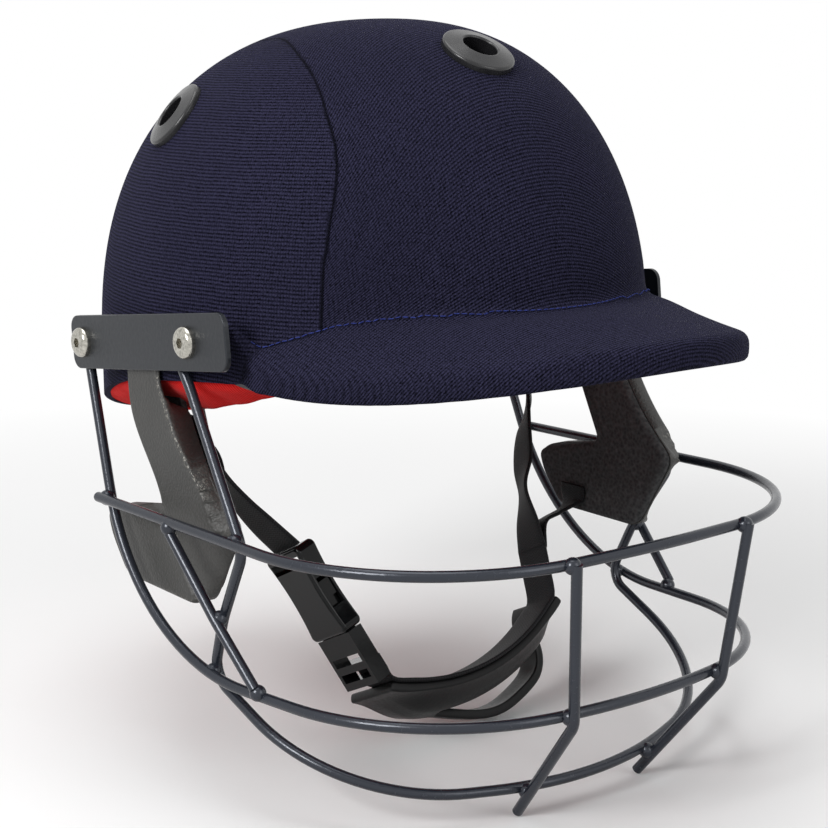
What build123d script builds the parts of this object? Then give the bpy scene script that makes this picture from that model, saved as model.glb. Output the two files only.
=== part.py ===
"""Cricket helmet with a wire face guard, in millimetres.

+X is the wearer's left, -Y the front and +Z up. The origin is in the middle of
the head opening, level with the hem at the temples.
"""
from math import cos, pi, radians, sin, sqrt, tan
import os

from build123d import *

os.makedirs("parts", exist_ok=True)

# Dome: the outside of the fabric cover, a squared ellipsoid over a straight skirt
dome_half_width = 104.0
dome_crown_y = -19.8
dome_front_length = 106.8
dome_rear_length = 145.3
dome_base_z = 2.0
dome_height = 131.9
dome_roundness = 2.3
dome_profile_steps = 9
skirt_depth = 62.0

# Layers from the outside in
cover_thickness = 1.5
shell_thickness = 4.0
liner_thickness = 12.0
lining_thickness = 1.2
comfort_pad_thickness = 7.0

# Hem, seen from the side
hem_front_y = -134.0
hem_front_z = 12.0
hem_temple_y = -93.0
hem_temple_z = 7.0
hem_side_y = -30.0
hem_side_z = 3.0
hem_ear_y = 24.0
hem_ear_z = -5.1
hem_neck_y = 60.0
hem_neck_z = -15.4
hem_nape_y = 136.0
hem_nape_z = -44.0

# Lower edge of the lining, which hangs below the hem at both sides
lining_fore_y = -66.0
lining_fore_z = 0.8
lining_temple_y = -37.0
lining_temple_z = -9.0
lining_side_y = -6.0
lining_side_z = -14.6
lining_ear_y = 28.0
lining_ear_z = -20.0
lining_neck_y = 56.0
lining_neck_z = -23.5

# Peak
peak_half_width = 99.4
peak_front_y = -185.3
peak_root_y = -56.2
peak_edge_z = 14.3
peak_side_drop = 23.9
peak_thickness = 11.0
peak_slope_angle = 5.1
peak_reach_inside = 30.0

# Vent eyelets
eyelet_outer_diameter = 28.5
eyelet_hole_diameter = 13.5
eyelet_barrel_wall = 1.8
eyelet_flange_height = 3.4
eyelet_lip_height = 1.7
eyelet_edge_radius = 1.1
eyelet_hole_edge_radius = 0.8
eyelet_collar_width = 3.2
eyelet_collar_height = 2.4
front_eyelet_y = -75.0
side_eyelet_x = 74.5
side_eyelet_y = 18.0

# Side plates and their screws
plate_length = 113.0
plate_height = 21.0
plate_thickness = 2.0
plate_corner_radius = 5.0
plate_edge_radius = 0.5
plate_inner_x = 107.5
plate_middle_y = -12.4
plate_middle_z = 14.5
plate_angle = 6.8
rear_screw_margin = 9.5
screw_spacing = 78.0
screw_shank_diameter = 5.0
screw_hole_clearance = 0.3
screw_head_diameter = 12.0
screw_head_height = 3.2
screw_head_edge = 2.2
socket_width = 3.6
socket_depth = 1.8
spacer_diameter = 9.0
eye_diameter = 12.0
eye_offset = 4.0
nut_width = 8.0
nut_thickness = 4.0
nut_pocket_clearance = 0.5
screw_end_past_nut = 1.0

# Face guard wires, at their centre lines
wire_diameter = 4.0
top_bar_rear_y = 20.0
top_bar_rear_z = -50.5
top_bar_corner_x = 113.5
top_bar_corner_y = -168.0
top_bar_corner_z = -48.0
top_bar_front_y = -176.0
top_bar_front_z = -47.0
top_bar_corner_radius = 80.0
top_bar_front_radius = 300.0

upright_bend_x = 112.5
upright_bend_y = -5.0
upright_bend_radius = 92.0
middle_bar_rear_z = -108.0
middle_bar_corner_x = 97.0
middle_bar_corner_y = -158.0
middle_bar_corner_z = -104.0
middle_bar_front_y = -173.0
middle_bar_front_z = -103.0
middle_bar_corner_radius = 78.0
middle_bar_front_radius = 200.0

vee_top_y = -21.0
vee_top_z = 23.5
vee_plate_share = 0.32
vee_plate_radius = 60.0
vee_kink_y = -77.0
vee_kink_z = -52.5
vee_kink_radius = 9.0
vee_waist_y = -58.0
vee_waist_z = -82.5
vee_waist_radius = 50.0
node_y = -50.0
node_corner_back = 2.6
node_corner_drop = 2.6
node_radius = 9.0
bottom_bar_corner_x = 99.0
bottom_bar_corner_y = -118.0
bottom_bar_corner_z = -137.0
bottom_bar_front_y = -150.0
bottom_bar_front_z = -142.0
bottom_bar_corner_radius = 72.0
bottom_bar_front_radius = 140.0

brace_top_y = -33.0
brace_cross_z = -77.5
brace_end_y = -80.0
brace_end_angle = 53.0
brace_radius = 60.0

vertical_top_x = 43.0
vertical_top_rise = 1.0
vertical_bend_x = 37.5
vertical_bend_radius = 9.0
vertical_end_x = 31.0
vertical_end_angle = 38.0
vertical_end_reach = 10.5
weld_bead_radius = 3.1
weld_core_radius = 0.8

# Cheek pads and their cloth linings, as seen from the side
cheek_outer_x = 103.2
cheek_inner_x = 94.5
cheek_lining_thickness = 3.6
cheek_gap_below_hem = 0.6
cheek_edge_radius = 1.6
cheek_top_z = 16.0
cheek_tab_thickness = 2.2
cheek_tab_top_z = 7.0
cheek_tab_root_z = -17.0
cheek_tab_root_height = 8.0
cheek_tab_front_y = -15.0
cheek_tab_rear_y = 6.0
cheek_tab_gap = 0.5
cheek_strip_front_y = -8.0
cheek_strip_rear_y = 6.5
cheek_bend_y = 5.5
cheek_bend_z = -12.5
cheek_waist_y = -11.5
cheek_waist_z = -50.0
cheek_toe_y = 20.0
cheek_toe_z = -56.5
cheek_heel_y = 26.0
cheek_heel_z = -60.5
cheek_foot_y = 11.5
cheek_foot_z = -83.5
cheek_front_foot_y = -35.0
cheek_front_foot_z = -84.0
cheek_nose_y = -44.5
cheek_nose_z = -68.0
cheek_brow_y = -54.0
cheek_brow_z = -51.5
cheek_knee_y = -33.5
cheek_knee_z = -31.5
cheek_lining_inset = 3.0
cheek_lining_edge_radius = 1.2

# How much further forward and up the left cheek pad hangs than the right one, how far its tab
# moves, and how far the tab's root reaches forward to meet the pad
cheek_swing_ahead = 38.0
cheek_swing_up = 6.0
cheek_swing_tab = 7.0
cheek_swing_root = 20.0

# Chin strap loop, laid out in one leaning plane: along it X and a rise from the chin
loop_origin_y = -67.5
loop_origin_z = -128.0
loop_lean_angle = 25.8
webbing_width = 18.0
webbing_thickness = 2.0
strap_top_x = 81.6
strap_top_rise = 160.0
strap_turn_rise = 128.0
strap_bend_radius = 40.0
right_strap_middle_x = 84.5
right_strap_middle_rise = 101.0
left_strap_upper_x = 82.0
left_strap_upper_rise = 100.0
left_strap_upper_back = 11.0
left_strap_bow_x = 75.0
left_strap_bow_rise = 76.0
left_strap_bow_back = 15.0
left_strap_low_x = 60.5
left_strap_low_rise = 53.0
strap_sewn_length = 8.0
rear_strap_width = 14.0
strap_gap = 0.3
rear_strap_top_gap = 1.0
left_rear_strap_top_y = -38.0
left_rear_strap_top_z = -65.0
left_rear_strap_bend_x = 76.0
left_rear_strap_bend_y = -38.5
left_rear_strap_bend_z = -77.0
left_rear_strap_end_rise = 46.0
right_rear_strap_top_y = -10.0
right_rear_strap_top_z = -16.0
right_rear_strap_end_rise = 98.0

chin_arc_x = -6.0
chin_arc_rise = 97.0
chin_arc_radius = 95.0
chin_cup_thickness = 5.0
chin_cup_start_angle = -20.0
chin_cup_end_angle = 43.0
chin_cup_front_width = 13.0
chin_cup_rear_width = 11.0
chin_cup_slot_width = 6.0
chin_cup_front_reach = 8.0
chin_cup_slot_start_angle = -2.0
chin_cup_slot_end_angle = 34.0
chin_cup_gap = 0.3
chin_strap_start_share = 0.86

# Side-release buckle
buckle_top_x = -63.5
buckle_top_rise = 67.0
buckle_low_x = -43.5
buckle_low_rise = 9.5
housing_length = 38.0
housing_width = 25.0
housing_waist = 20.6
housing_thickness = 9.6
housing_corner_radius = 2.5
housing_edge_radius = 1.4
housing_wall = 1.8
housing_bar = 3.4
housing_slot_length = 4.4
cavity_start_share = 0.3
window_start_share = 0.38
window_end_share = 0.72
buckle_gap = 0.3
tongue_width = 22.0
tongue_thickness = 7.0
tongue_bar = 3.2
tongue_slot_length = 3.6
tongue_side_bar = 1.9
guide_width = 5.0
guide_share = 0.62
prong_width = 2.6
prong_share = 0.58
prong_barb = 1.4
prong_barb_length = 7.0

# Strap rivets
rivet_head_diameter = 10.0
rivet_head_height = 1.8
rivet_shank_diameter = 4.0
rivet_rise = 150.0

# Comfort pads inside the lining
pad_top_z = 62.0
side_pad_front_y = 14.0
side_pad_rear_y = 66.0
brow_pad_rear_y = -62.0
brow_pad_top_z = 48.0
brow_pad_half_width = 58.0
rear_pad_front_y = 76.0
rear_pad_half_width = 46.0
rear_pad_bottom_z = -24.0
rear_pad_top_z = 34.0
crown_pad_half_width = 44.0
crown_pad_front_y = -36.0
crown_pad_rear_y = 34.0
pad_above_hem = 6.0

# Sheets and blocks that only cut, and reach well past what they cut
far = 400.0

wire_radius = wire_diameter / 2


def dome(inset):
    """A solid of the dome with its skirt, drawn in all round by inset."""
    half = dome_half_width - inset
    height = dome_height - inset
    turns = [pi / 2 * step / dome_profile_steps for step in range(dome_profile_steps + 1)]
    rim = [
        (half * cos(turn) ** (2 / dome_roundness), dome_base_z + height * sin(turn) ** (2 / dome_roundness))
        for turn in turns[:-1]
    ]
    crown = (0, dome_base_z + height)
    with BuildPart() as body:
        with BuildSketch(Plane.XZ):
            with BuildLine():
                Spline(*rim, crown, tangents=((0, 1), (-1, 0)))
                Polyline(crown, (0, dome_base_z - skirt_depth), (half, dome_base_z - skirt_depth), rim[0])
            make_face()
        revolve(axis=Axis.Z)
    front = body.part & Pos(0, -far / 2, 0) * Box(far, far, far)
    rear = body.part & Pos(0, far / 2, 0) * Box(far, far, far)
    front = scale(front, by=(1, (dome_front_length - inset) / half, 1))
    rear = scale(rear, by=(1, (dome_rear_length - inset) / half, 1))
    return Pos(0, dome_crown_y, 0) * (front + rear)


def above_line(line):
    """Everything above a smooth line that is drawn from the side, front to rear."""
    rear_z = line[-1][1]
    front_z = line[0][1]
    with BuildPart() as block:
        with BuildSketch(Plane.YZ):
            with BuildLine():
                Spline(*line)
                Polyline(line[-1], (far, rear_z), (far, far), (-far, far), (-far, front_z), line[0])
            make_face()
        extrude(amount=far, both=True)
    return block.part


def above_hem(drop):
    """Everything above the hem line, which is lowered by drop."""
    return above_line(
        [
            (hem_front_y, hem_front_z - drop),
            (hem_temple_y, hem_temple_z - drop),
            (hem_side_y, hem_side_z - drop),
            (hem_ear_y, hem_ear_z - drop),
            (hem_neck_y, hem_neck_z - drop),
            (hem_nape_y, hem_nape_z - drop),
        ]
    )


def above_lining_edge():
    """Everything above the lining's own lower edge."""
    return above_line(
        [
            (hem_front_y, hem_front_z - cover_thickness),
            (hem_temple_y, hem_temple_z - cover_thickness),
            (lining_fore_y, lining_fore_z),
            (lining_temple_y, lining_temple_z),
            (lining_side_y, lining_side_z),
            (lining_ear_y, lining_ear_z),
            (lining_neck_y, lining_neck_z),
            (hem_nape_y, hem_nape_z - cover_thickness),
        ]
    )


def peak_block(grow):
    """The peak as a full plate that still runs in under the dome, larger all round by grow."""
    half = peak_half_width + grow
    reach = peak_root_y - peak_front_y + grow
    edge = peak_edge_z - grow
    thickness = peak_thickness + 2 * grow
    with BuildPart() as block:
        with BuildSketch(Plane.XY.offset(-far / 2)):
            with BuildLine():
                EllipticalCenterArc((0, peak_root_y), half, reach, start_angle=180, arc_size=180)
                Polyline(
                    (half, peak_root_y),
                    (half, peak_root_y + peak_reach_inside),
                    (-half, peak_root_y + peak_reach_inside),
                    (-half, peak_root_y),
                )
            make_face()
        extrude(amount=far)
        slope = Plane((0, peak_front_y, edge), x_dir=(1, 0, 0), z_dir=(0, -1, -tan(radians(peak_slope_angle))))
        with BuildSketch(slope):
            with BuildLine():
                ThreePointArc((-half, -peak_side_drop), (0, 0), (half, -peak_side_drop))
                Line((half, -peak_side_drop), (half, thickness - peak_side_drop))
                ThreePointArc((half, thickness - peak_side_drop), (0, thickness), (-half, thickness - peak_side_drop))
                Line((-half, thickness - peak_side_drop), (-half, -peak_side_drop))
            make_face()
        extrude(amount=far, both=True, mode=Mode.INTERSECT)
    return block.part


def surface_plane(x, y):
    """A plane on the cover above (x, y), square to it, with its z axis pointing out."""
    ahead = y - dome_crown_y
    length = dome_front_length if ahead < 0 else dome_rear_length
    flat = sqrt((x / dome_half_width) ** 2 + (ahead / length) ** 2)
    rise = (1 - flat**dome_roundness) ** (1 / dome_roundness)
    side_pull = flat ** (dome_roundness - 2)
    normal = Vector(
        side_pull * x / dome_half_width**2,
        side_pull * ahead / length**2,
        rise ** (dome_roundness - 1) / dome_height,
    )
    return Plane((x, y, dome_base_z + dome_height * rise), z_dir=normal)


def along_z(amount):
    """A vector straight up."""
    return Vector(0, 0, amount)


def dome_x(inset, y, z):
    """How far out the dome's side is at a height on it, drawn in by inset."""
    ahead = y - dome_crown_y
    length = (dome_front_length if ahead < 0 else dome_rear_length) - inset
    rise = max(z - dome_base_z, 0) / (dome_height - inset)
    flat = (1 - rise**dome_roundness) ** (1 / dome_roundness)
    return (dome_half_width - inset) * sqrt(flat**2 - (ahead / length) ** 2)


shell_inset = cover_thickness
liner_inset = shell_inset + shell_thickness
lining_inset = liner_inset + liner_thickness
pad_inset = lining_inset + lining_thickness
head_inset = pad_inset + comfort_pad_thickness

cover_space = dome(0)
shell_space = dome(shell_inset)
liner_space = dome(liner_inset)
lining_space = dome(lining_inset)
pad_space = dome(pad_inset)
head_space = dome(head_inset)
hem_space = above_hem(0)
hem_cloth_space = above_hem(cover_thickness)
peak_core_space = peak_block(-cover_thickness)

eyelet_seats = {
    "front": surface_plane(0, front_eyelet_y),
    "right": surface_plane(-side_eyelet_x, side_eyelet_y),
    "left": surface_plane(side_eyelet_x, side_eyelet_y),
}
barrel_radius = eyelet_hole_diameter / 2 + eyelet_barrel_wall
barrel_depth = pad_inset + eyelet_collar_height
plate_tilt = radians(plate_angle)
plate_plane = Plane(
    (plate_inner_x, plate_middle_y, plate_middle_z),
    x_dir=(0, cos(plate_tilt), -sin(plate_tilt)),
    z_dir=(1, 0, 0),
)
rear_screw_at = plate_length / 2 - rear_screw_margin
front_screw_at = rear_screw_at - screw_spacing
rear_screw_point = plate_plane.from_local_coords((rear_screw_at, 0, 0))
front_screw_point = plate_plane.from_local_coords((front_screw_at, 0, 0))
screw_points = [rear_screw_point, front_screw_point]
screw_hole_radius = screw_shank_diameter / 2 + screw_hole_clearance


def disc_along_x(point, x_from, x_to, radius):
    """A round bar along X at a point's Y and Z, between two values of X."""
    with BuildPart() as disc:
        with BuildSketch(Plane((x_from, point.Y, point.Z), x_dir=(0, 1, 0), z_dir=(1, 0, 0))):
            Circle(radius)
        extrude(amount=x_to - x_from)
    return disc.part


def both_sides(part):
    """The solids of a part of the left side and those of its mirror image."""
    return part.solids() + mirror(part, about=Plane.YZ).solids()


def barrel(seat, radius):
    """A round bar along an eyelet's axis, through every layer."""
    with BuildPart() as bar:
        with BuildSketch(seat.offset(-far / 8)):
            Circle(radius)
        extrude(amount=far / 4)
    return bar.part


def make_eyelet(seat):
    """A raised ring with a barrel that runs in through cover, shell, liner and lining."""
    hole = eyelet_hole_diameter / 2
    rim = eyelet_outer_diameter / 2
    with BuildPart() as eyelet:
        with BuildSketch(Plane(seat.origin, x_dir=seat.x_dir, z_dir=-seat.y_dir)) as profile:
            with BuildLine():
                Polyline(
                    (hole, -barrel_depth),
                    (barrel_radius, -barrel_depth),
                    (barrel_radius, -cover_thickness),
                    (rim, -cover_thickness),
                    (rim, eyelet_lip_height),
                    (hole, eyelet_flange_height),
                    close=True,
                )
            make_face()
            fillet(profile.vertices().group_by(Axis.Y)[-2], eyelet_edge_radius)
            fillet(profile.vertices().group_by(Axis.Y)[-1], eyelet_hole_edge_radius)
        revolve(axis=Axis(seat.origin, seat.z_dir))
    return eyelet.part


def eyelet_flange(seat):
    """The room that an eyelet's flange takes out of the cover."""
    with BuildPart() as disc:
        with BuildSketch(seat.offset(-cover_thickness)):
            Circle(eyelet_outer_diameter / 2)
        extrude(amount=far / 8)
    return disc.part


def make_collar(seat):
    """The ring pressed on an eyelet's barrel against the lining."""
    with BuildPart() as collar:
        with BuildSketch(seat.offset(-barrel_depth)):
            Circle(barrel_radius + eyelet_collar_width)
            Circle(barrel_radius, mode=Mode.SUBTRACT)
        extrude(amount=2 * eyelet_collar_height)
        add(pad_space, mode=Mode.INTERSECT)
    return collar.part


def side_holes(radius):
    """Round bars through both sides of the dome, where the four screws go."""
    bars = []
    for point in screw_points:
        bars += both_sides(disc_along_x(point, 0, plate_inner_x, radius))
    return bars


def make_shell():
    """The hard shell under the cover."""
    with BuildPart() as shell:
        add(shell_space)
        add(liner_space, mode=Mode.SUBTRACT)
        add(hem_space, mode=Mode.INTERSECT)
        add([barrel(seat, barrel_radius) for seat in eyelet_seats.values()], mode=Mode.SUBTRACT)
        add(side_holes(screw_hole_radius), mode=Mode.SUBTRACT)
    return shell.part


def nut_pocket(point):
    """The room in the liner round a nut and the end of its screw."""
    face_x = dome_x(liner_inset, point.Y, point.Z)
    radius = nut_width / 2 / cos(pi / 6) + nut_pocket_clearance
    depth = nut_thickness + screw_end_past_nut + nut_pocket_clearance
    return disc_along_x(point, face_x - depth, plate_inner_x, radius)


def make_liner():
    """The foam that takes the blow, inside the shell."""
    with BuildPart() as liner:
        add(liner_space)
        add(lining_space, mode=Mode.SUBTRACT)
        add(hem_space, mode=Mode.INTERSECT)
        add([barrel(seat, barrel_radius) for seat in eyelet_seats.values()], mode=Mode.SUBTRACT)
        for point in screw_points:
            add(both_sides(nut_pocket(point)), mode=Mode.SUBTRACT)
        add(both_sides(rivet_bar(rivet_shank_diameter / 2)), mode=Mode.SUBTRACT)
    return liner.part


def make_lining():
    """The cloth inside the liner."""
    with BuildPart() as lining:
        add(lining_space)
        add(pad_space, mode=Mode.SUBTRACT)
        add(above_lining_edge(), mode=Mode.INTERSECT)
        add([barrel(seat, barrel_radius) for seat in eyelet_seats.values()], mode=Mode.SUBTRACT)
        add(both_sides(rivet_bar(rivet_shank_diameter / 2)), mode=Mode.SUBTRACT)
    return lining.part


def make_peak_core():
    """The stiff plate of the peak, from the shell out."""
    with BuildPart() as core:
        add(peak_core_space)
        add(shell_space, mode=Mode.SUBTRACT)
        add(side_holes(spacer_diameter / 2), mode=Mode.SUBTRACT)
    return core.part


def make_cover():
    """The cloth over the dome and the peak, turned in under the hem."""
    with BuildPart() as cover:
        add(cover_space)
        add(hem_cloth_space, mode=Mode.INTERSECT)
        add(peak_block(0) - shell_space)
        add(shell_space & hem_space, mode=Mode.SUBTRACT)
        add(peak_core_space, mode=Mode.SUBTRACT)
        add(lining_space, mode=Mode.SUBTRACT)
        for seat in eyelet_seats.values():
            add(eyelet_flange(seat), mode=Mode.SUBTRACT)
            add(barrel(seat, barrel_radius), mode=Mode.SUBTRACT)
        add(side_holes(spacer_diameter / 2), mode=Mode.SUBTRACT)
    return cover.part


def make_comfort_pad(x_from, x_to, y_from, y_to, z_from, z_to):
    """A piece of the padding layer inside the lining, cut to a block."""
    with BuildPart() as pad:
        add(pad_space)
        add(head_space, mode=Mode.SUBTRACT)
        add(above_hem(-pad_above_hem), mode=Mode.INTERSECT)
        with BuildPart(mode=Mode.PRIVATE) as block:
            with BuildSketch(Plane.XY.offset(z_from)):
                with Locations(((x_from + x_to) / 2, (y_from + y_to) / 2)):
                    Rectangle(x_to - x_from, y_to - y_from)
            extrude(amount=z_to - z_from)
        add(block.part, mode=Mode.INTERSECT)
    return pad.part


def make_side_plate():
    """The flat plate that carries the guard's left side."""
    with BuildPart() as plate:
        with BuildSketch(plate_plane):
            RectangleRounded(plate_length, plate_height, plate_corner_radius)
            with Locations((rear_screw_at, 0), (front_screw_at, 0)):
                Circle(screw_hole_radius, mode=Mode.SUBTRACT)
        extrude(amount=plate_thickness)
        outer = plate.faces().filter_by(Axis.X).sort_by(Axis.X)[-1]
        fillet(outer.outer_wire().edges(), plate_edge_radius)
    return plate.part


def screw_tip_x(point):
    """Where a screw ends inside the liner."""
    return dome_x(liner_inset, point.Y, point.Z) - nut_thickness - screw_end_past_nut


def make_screw(point):
    """A round-head screw with a six-sided socket."""
    face_x = plate_inner_x + plate_thickness
    seat = Plane((face_x, point.Y, point.Z), x_dir=(0, 1, 0), z_dir=(1, 0, 0))
    with BuildPart() as screw:
        with BuildSketch(seat):
            Circle(screw_head_diameter / 2)
        extrude(amount=screw_head_height)
        fillet(screw.faces().sort_by(Axis.X)[-1].edges(), screw_head_edge)
        with BuildSketch(seat):
            Circle(screw_shank_diameter / 2)
        extrude(amount=screw_tip_x(point) - face_x)
        with BuildSketch(seat.offset(screw_head_height - socket_depth)):
            RegularPolygon(socket_width / 2 / cos(pi / 6), 6)
        extrude(amount=socket_depth, mode=Mode.SUBTRACT)
    return screw.part


def make_spacer(point, outer_x):
    """A sleeve on a screw, cut at its inner end to sit on the shell."""
    with BuildPart() as spacer:
        add(disc_along_x(point, dome_half_width / 2, outer_x, spacer_diameter / 2))
        add(disc_along_x(point, 0, far, screw_hole_radius), mode=Mode.SUBTRACT)
        add(shell_space, mode=Mode.SUBTRACT)
    return spacer.part


def make_nut(point):
    """A nut against the inside of the shell."""
    face_x = dome_x(liner_inset, point.Y, point.Z)
    seat = Plane((face_x - nut_thickness, point.Y, point.Z), x_dir=(0, 1, 0), z_dir=(1, 0, 0))
    with BuildPart() as nut:
        with BuildSketch(seat):
            RegularPolygon(nut_width / 2 / cos(pi / 6), 6)
            Circle(screw_shank_diameter / 2, mode=Mode.SUBTRACT)
        extrude(amount=2 * nut_thickness)
        add(liner_space, mode=Mode.INTERSECT)
    return nut.part


def whole_path(points, radii):
    """A line through left-side points, rounded, and on through their mirror images."""
    mirrored = [(-x, y, z) for x, y, z in reversed(points[:-1])]
    with BuildLine() as path:
        FilletPolyline(*points, *mirrored, radius=radii + radii[-2::-1])
    return path.wires()[0]


def half_path(points, radii):
    """A rounded line through points of the left side."""
    with BuildLine() as path:
        FilletPolyline(*points, radius=radii)
    return path.wires()[0]


def find_on(path, share_from, share_to, miss):
    """The point of a path, between two shares of its length, where miss changes sign."""
    low, high = share_from, share_to
    rising = miss(path @ high) > miss(path @ low)
    for _ in range(40):
        middle = (low + high) / 2
        if (miss(path @ middle) > 0) == rising:
            high = middle
        else:
            low = middle
    return path @ low


def wire_along(path):
    """A round wire along a path."""
    with BuildPart() as wire:
        with BuildSketch(Plane(path @ 0, z_dir=path % 0)):
            Circle(wire_radius)
        sweep(path=path)
    return wire.part


upright_top_y = rear_screw_point.Y + eye_offset
upright_top = Vector(plate_inner_x - wire_radius, upright_top_y, rear_screw_point.Z - eye_diameter / 3)
upright_bend = Vector(upright_bend_x, upright_bend_y, middle_bar_rear_z)
top_bar_crossing = (upright_top.Z - top_bar_rear_z) / (upright_top.Z - upright_bend.Z)
top_bar_rear_x = upright_top.X + top_bar_crossing * (upright_bend.X - upright_top.X) + wire_diameter

top_bar_path = whole_path(
    [
        (top_bar_rear_x, top_bar_rear_y, top_bar_rear_z),
        (top_bar_corner_x, top_bar_corner_y, top_bar_corner_z),
        (0, top_bar_front_y, top_bar_front_z),
    ],
    [top_bar_corner_radius, top_bar_front_radius],
)
middle_bar_path = whole_path(
    [
        tuple(upright_top),
        tuple(upright_bend),
        (middle_bar_corner_x, middle_bar_corner_y, middle_bar_corner_z),
        (0, middle_bar_front_y, middle_bar_front_z),
    ],
    [upright_bend_radius, middle_bar_corner_radius, middle_bar_front_radius],
)
top_bar_at_kink = find_on(top_bar_path, 0, 1 / 3, lambda point: point.Y - vee_kink_y)
middle_bar_at_node = find_on(middle_bar_path, 0, 1 / 3, lambda point: point.Y - node_y)
kink_x = top_bar_at_kink.X - wire_diameter
vee_leave_y = vee_top_y + vee_plate_share * (vee_kink_y - vee_top_y)
vee_leave_z = vee_top_z + vee_plate_share * (vee_kink_z - vee_top_z)
node_x = middle_bar_at_node.X - wire_diameter
waist_share = (vee_kink_z - vee_waist_z) / (vee_kink_z - middle_bar_at_node.Z)
waist_x = kink_x + waist_share * (node_x - kink_x)
bottom_bar_path = whole_path(
    [
        (plate_inner_x - wire_radius, vee_top_y, vee_top_z),
        (plate_inner_x - wire_radius, vee_leave_y, vee_leave_z),
        (kink_x, vee_kink_y, vee_kink_z),
        (waist_x, vee_waist_y, vee_waist_z),
        (node_x, node_y + node_corner_back, middle_bar_at_node.Z - node_corner_drop),
        (bottom_bar_corner_x, bottom_bar_corner_y, bottom_bar_corner_z),
        (0, bottom_bar_front_y, bottom_bar_front_z),
    ],
    [
        vee_plate_radius,
        vee_kink_radius,
        vee_waist_radius,
        node_radius,
        bottom_bar_corner_radius,
        bottom_bar_front_radius,
    ],
)

brace_start = find_on(top_bar_path, 0, 1 / 3, lambda point: point.Y - brace_top_y) - along_z(wire_diameter)
brace_cross = find_on(bottom_bar_path, 0.2, 0.3, lambda point: point.Z - brace_cross_z)
brace_seat = find_on(middle_bar_path, 0, 1 / 3, lambda point: point.Y - brace_end_y)
brace_turn = radians(brace_end_angle)
brace_path = half_path(
    [
        brace_start,
        brace_cross + Vector(wire_diameter, 0, 0),
        brace_seat + Vector(wire_diameter * cos(brace_turn), 0, wire_diameter * sin(brace_turn)),
    ],
    [brace_radius],
)

vertical_seats = [
    find_on(top_bar_path, 1 / 3, 1 / 2, lambda point: point.X - vertical_top_x),
    find_on(middle_bar_path, 1 / 3, 1 / 2, lambda point: point.X - vertical_bend_x),
    find_on(bottom_bar_path, 1 / 3, 1 / 2, lambda point: point.X - vertical_end_x),
]
end_turn = radians(vertical_end_angle)
end_out = Vector(0, -cos(end_turn), -sin(end_turn))
end_along = Vector(0, sin(end_turn), -cos(end_turn))
vertical_under = vertical_seats[2] + wire_diameter * end_out
vertical_bend_y = vertical_seats[1].Y - wire_diameter
bend_back = (vertical_under.Y - vertical_bend_y) / end_along.Y
vertical_bend = vertical_under - bend_back * end_along
vertical_path = half_path(
    [
        vertical_seats[0] + Vector(0, -wire_diameter, vertical_top_rise),
        Vector(vertical_bend_x, vertical_bend.Y, vertical_bend.Z),
        vertical_under + vertical_end_reach * end_along,
    ],
    [vertical_bend_radius],
)


def make_top_bar():
    """The bar below the eyes, with rounded free ends at the rear."""
    with BuildPart() as bar:
        add(wire_along(top_bar_path))
        with Locations(top_bar_path @ 0, top_bar_path @ 1):
            Sphere(wire_radius)
    return bar.part


def make_middle_bar():
    """The middle bar with both rear uprights, which end in eyes under the plates."""
    eye = disc_along_x(rear_screw_point, plate_inner_x - wire_diameter, plate_inner_x, eye_diameter / 2)
    hole = disc_along_x(rear_screw_point, 0, far, screw_hole_radius)
    with BuildPart() as bar:
        add(wire_along(middle_bar_path))
        add(both_sides(eye))
        add(both_sides(hole), mode=Mode.SUBTRACT)
    return bar.part


def make_bottom_bar():
    """The bottom bar, which runs on up both sides to the plates."""
    return wire_along(bottom_bar_path)


def make_brace():
    """The short wire across the left side of the guard."""
    return wire_along(brace_path)


def make_vertical():
    """The left one of the two wires down the front."""
    return wire_along(vertical_path)


def weld_seats():
    """Where the wires of the left side touch, as planes that face from wire to wire."""
    across = Vector(1, 0, 0)
    forwards = Vector(0, -1, 0)
    seat_turn = Vector(cos(brace_turn), 0, sin(brace_turn))
    upright_at_top = find_on(middle_bar_path, 0, 1 / 4, lambda point: point.Z - top_bar_rear_z)
    vee_at_top = find_on(bottom_bar_path, 0, 1 / 6, lambda point: point.Z - top_bar_at_kink.Z)
    touches = [
        (upright_at_top, across),
        (vee_at_top, across),
        (brace_start, along_z(1)),
        (brace_cross, across),
        (brace_seat, seat_turn),
        (middle_bar_at_node, -across),
        (vertical_seats[0], forwards),
        (vertical_seats[1], forwards),
        (vertical_seats[2], end_out),
    ]
    return [Plane(point + wire_radius * towards, z_dir=towards) for point, towards in touches]


def off_wires(point):
    """Whether a point lies well away from every wire's centre line."""
    paths = [top_bar_path, middle_bar_path, bottom_bar_path, brace_path, vertical_path]
    return all(path.distance_to(point) > wire_radius / 2 for path in paths)


def make_welds(wires):
    """A bead round each place where two wires touch, less the wires themselves."""
    with BuildPart() as beads:
        with Locations(*weld_seats()):
            Sphere(weld_bead_radius)
            Cylinder(weld_core_radius, 2 * weld_bead_radius, mode=Mode.SUBTRACT)
        mirror(about=Plane.YZ)
        add(wires, mode=Mode.SUBTRACT)
    return Compound([bead for bead in beads.solids() if off_wires(bead.center())])


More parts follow.
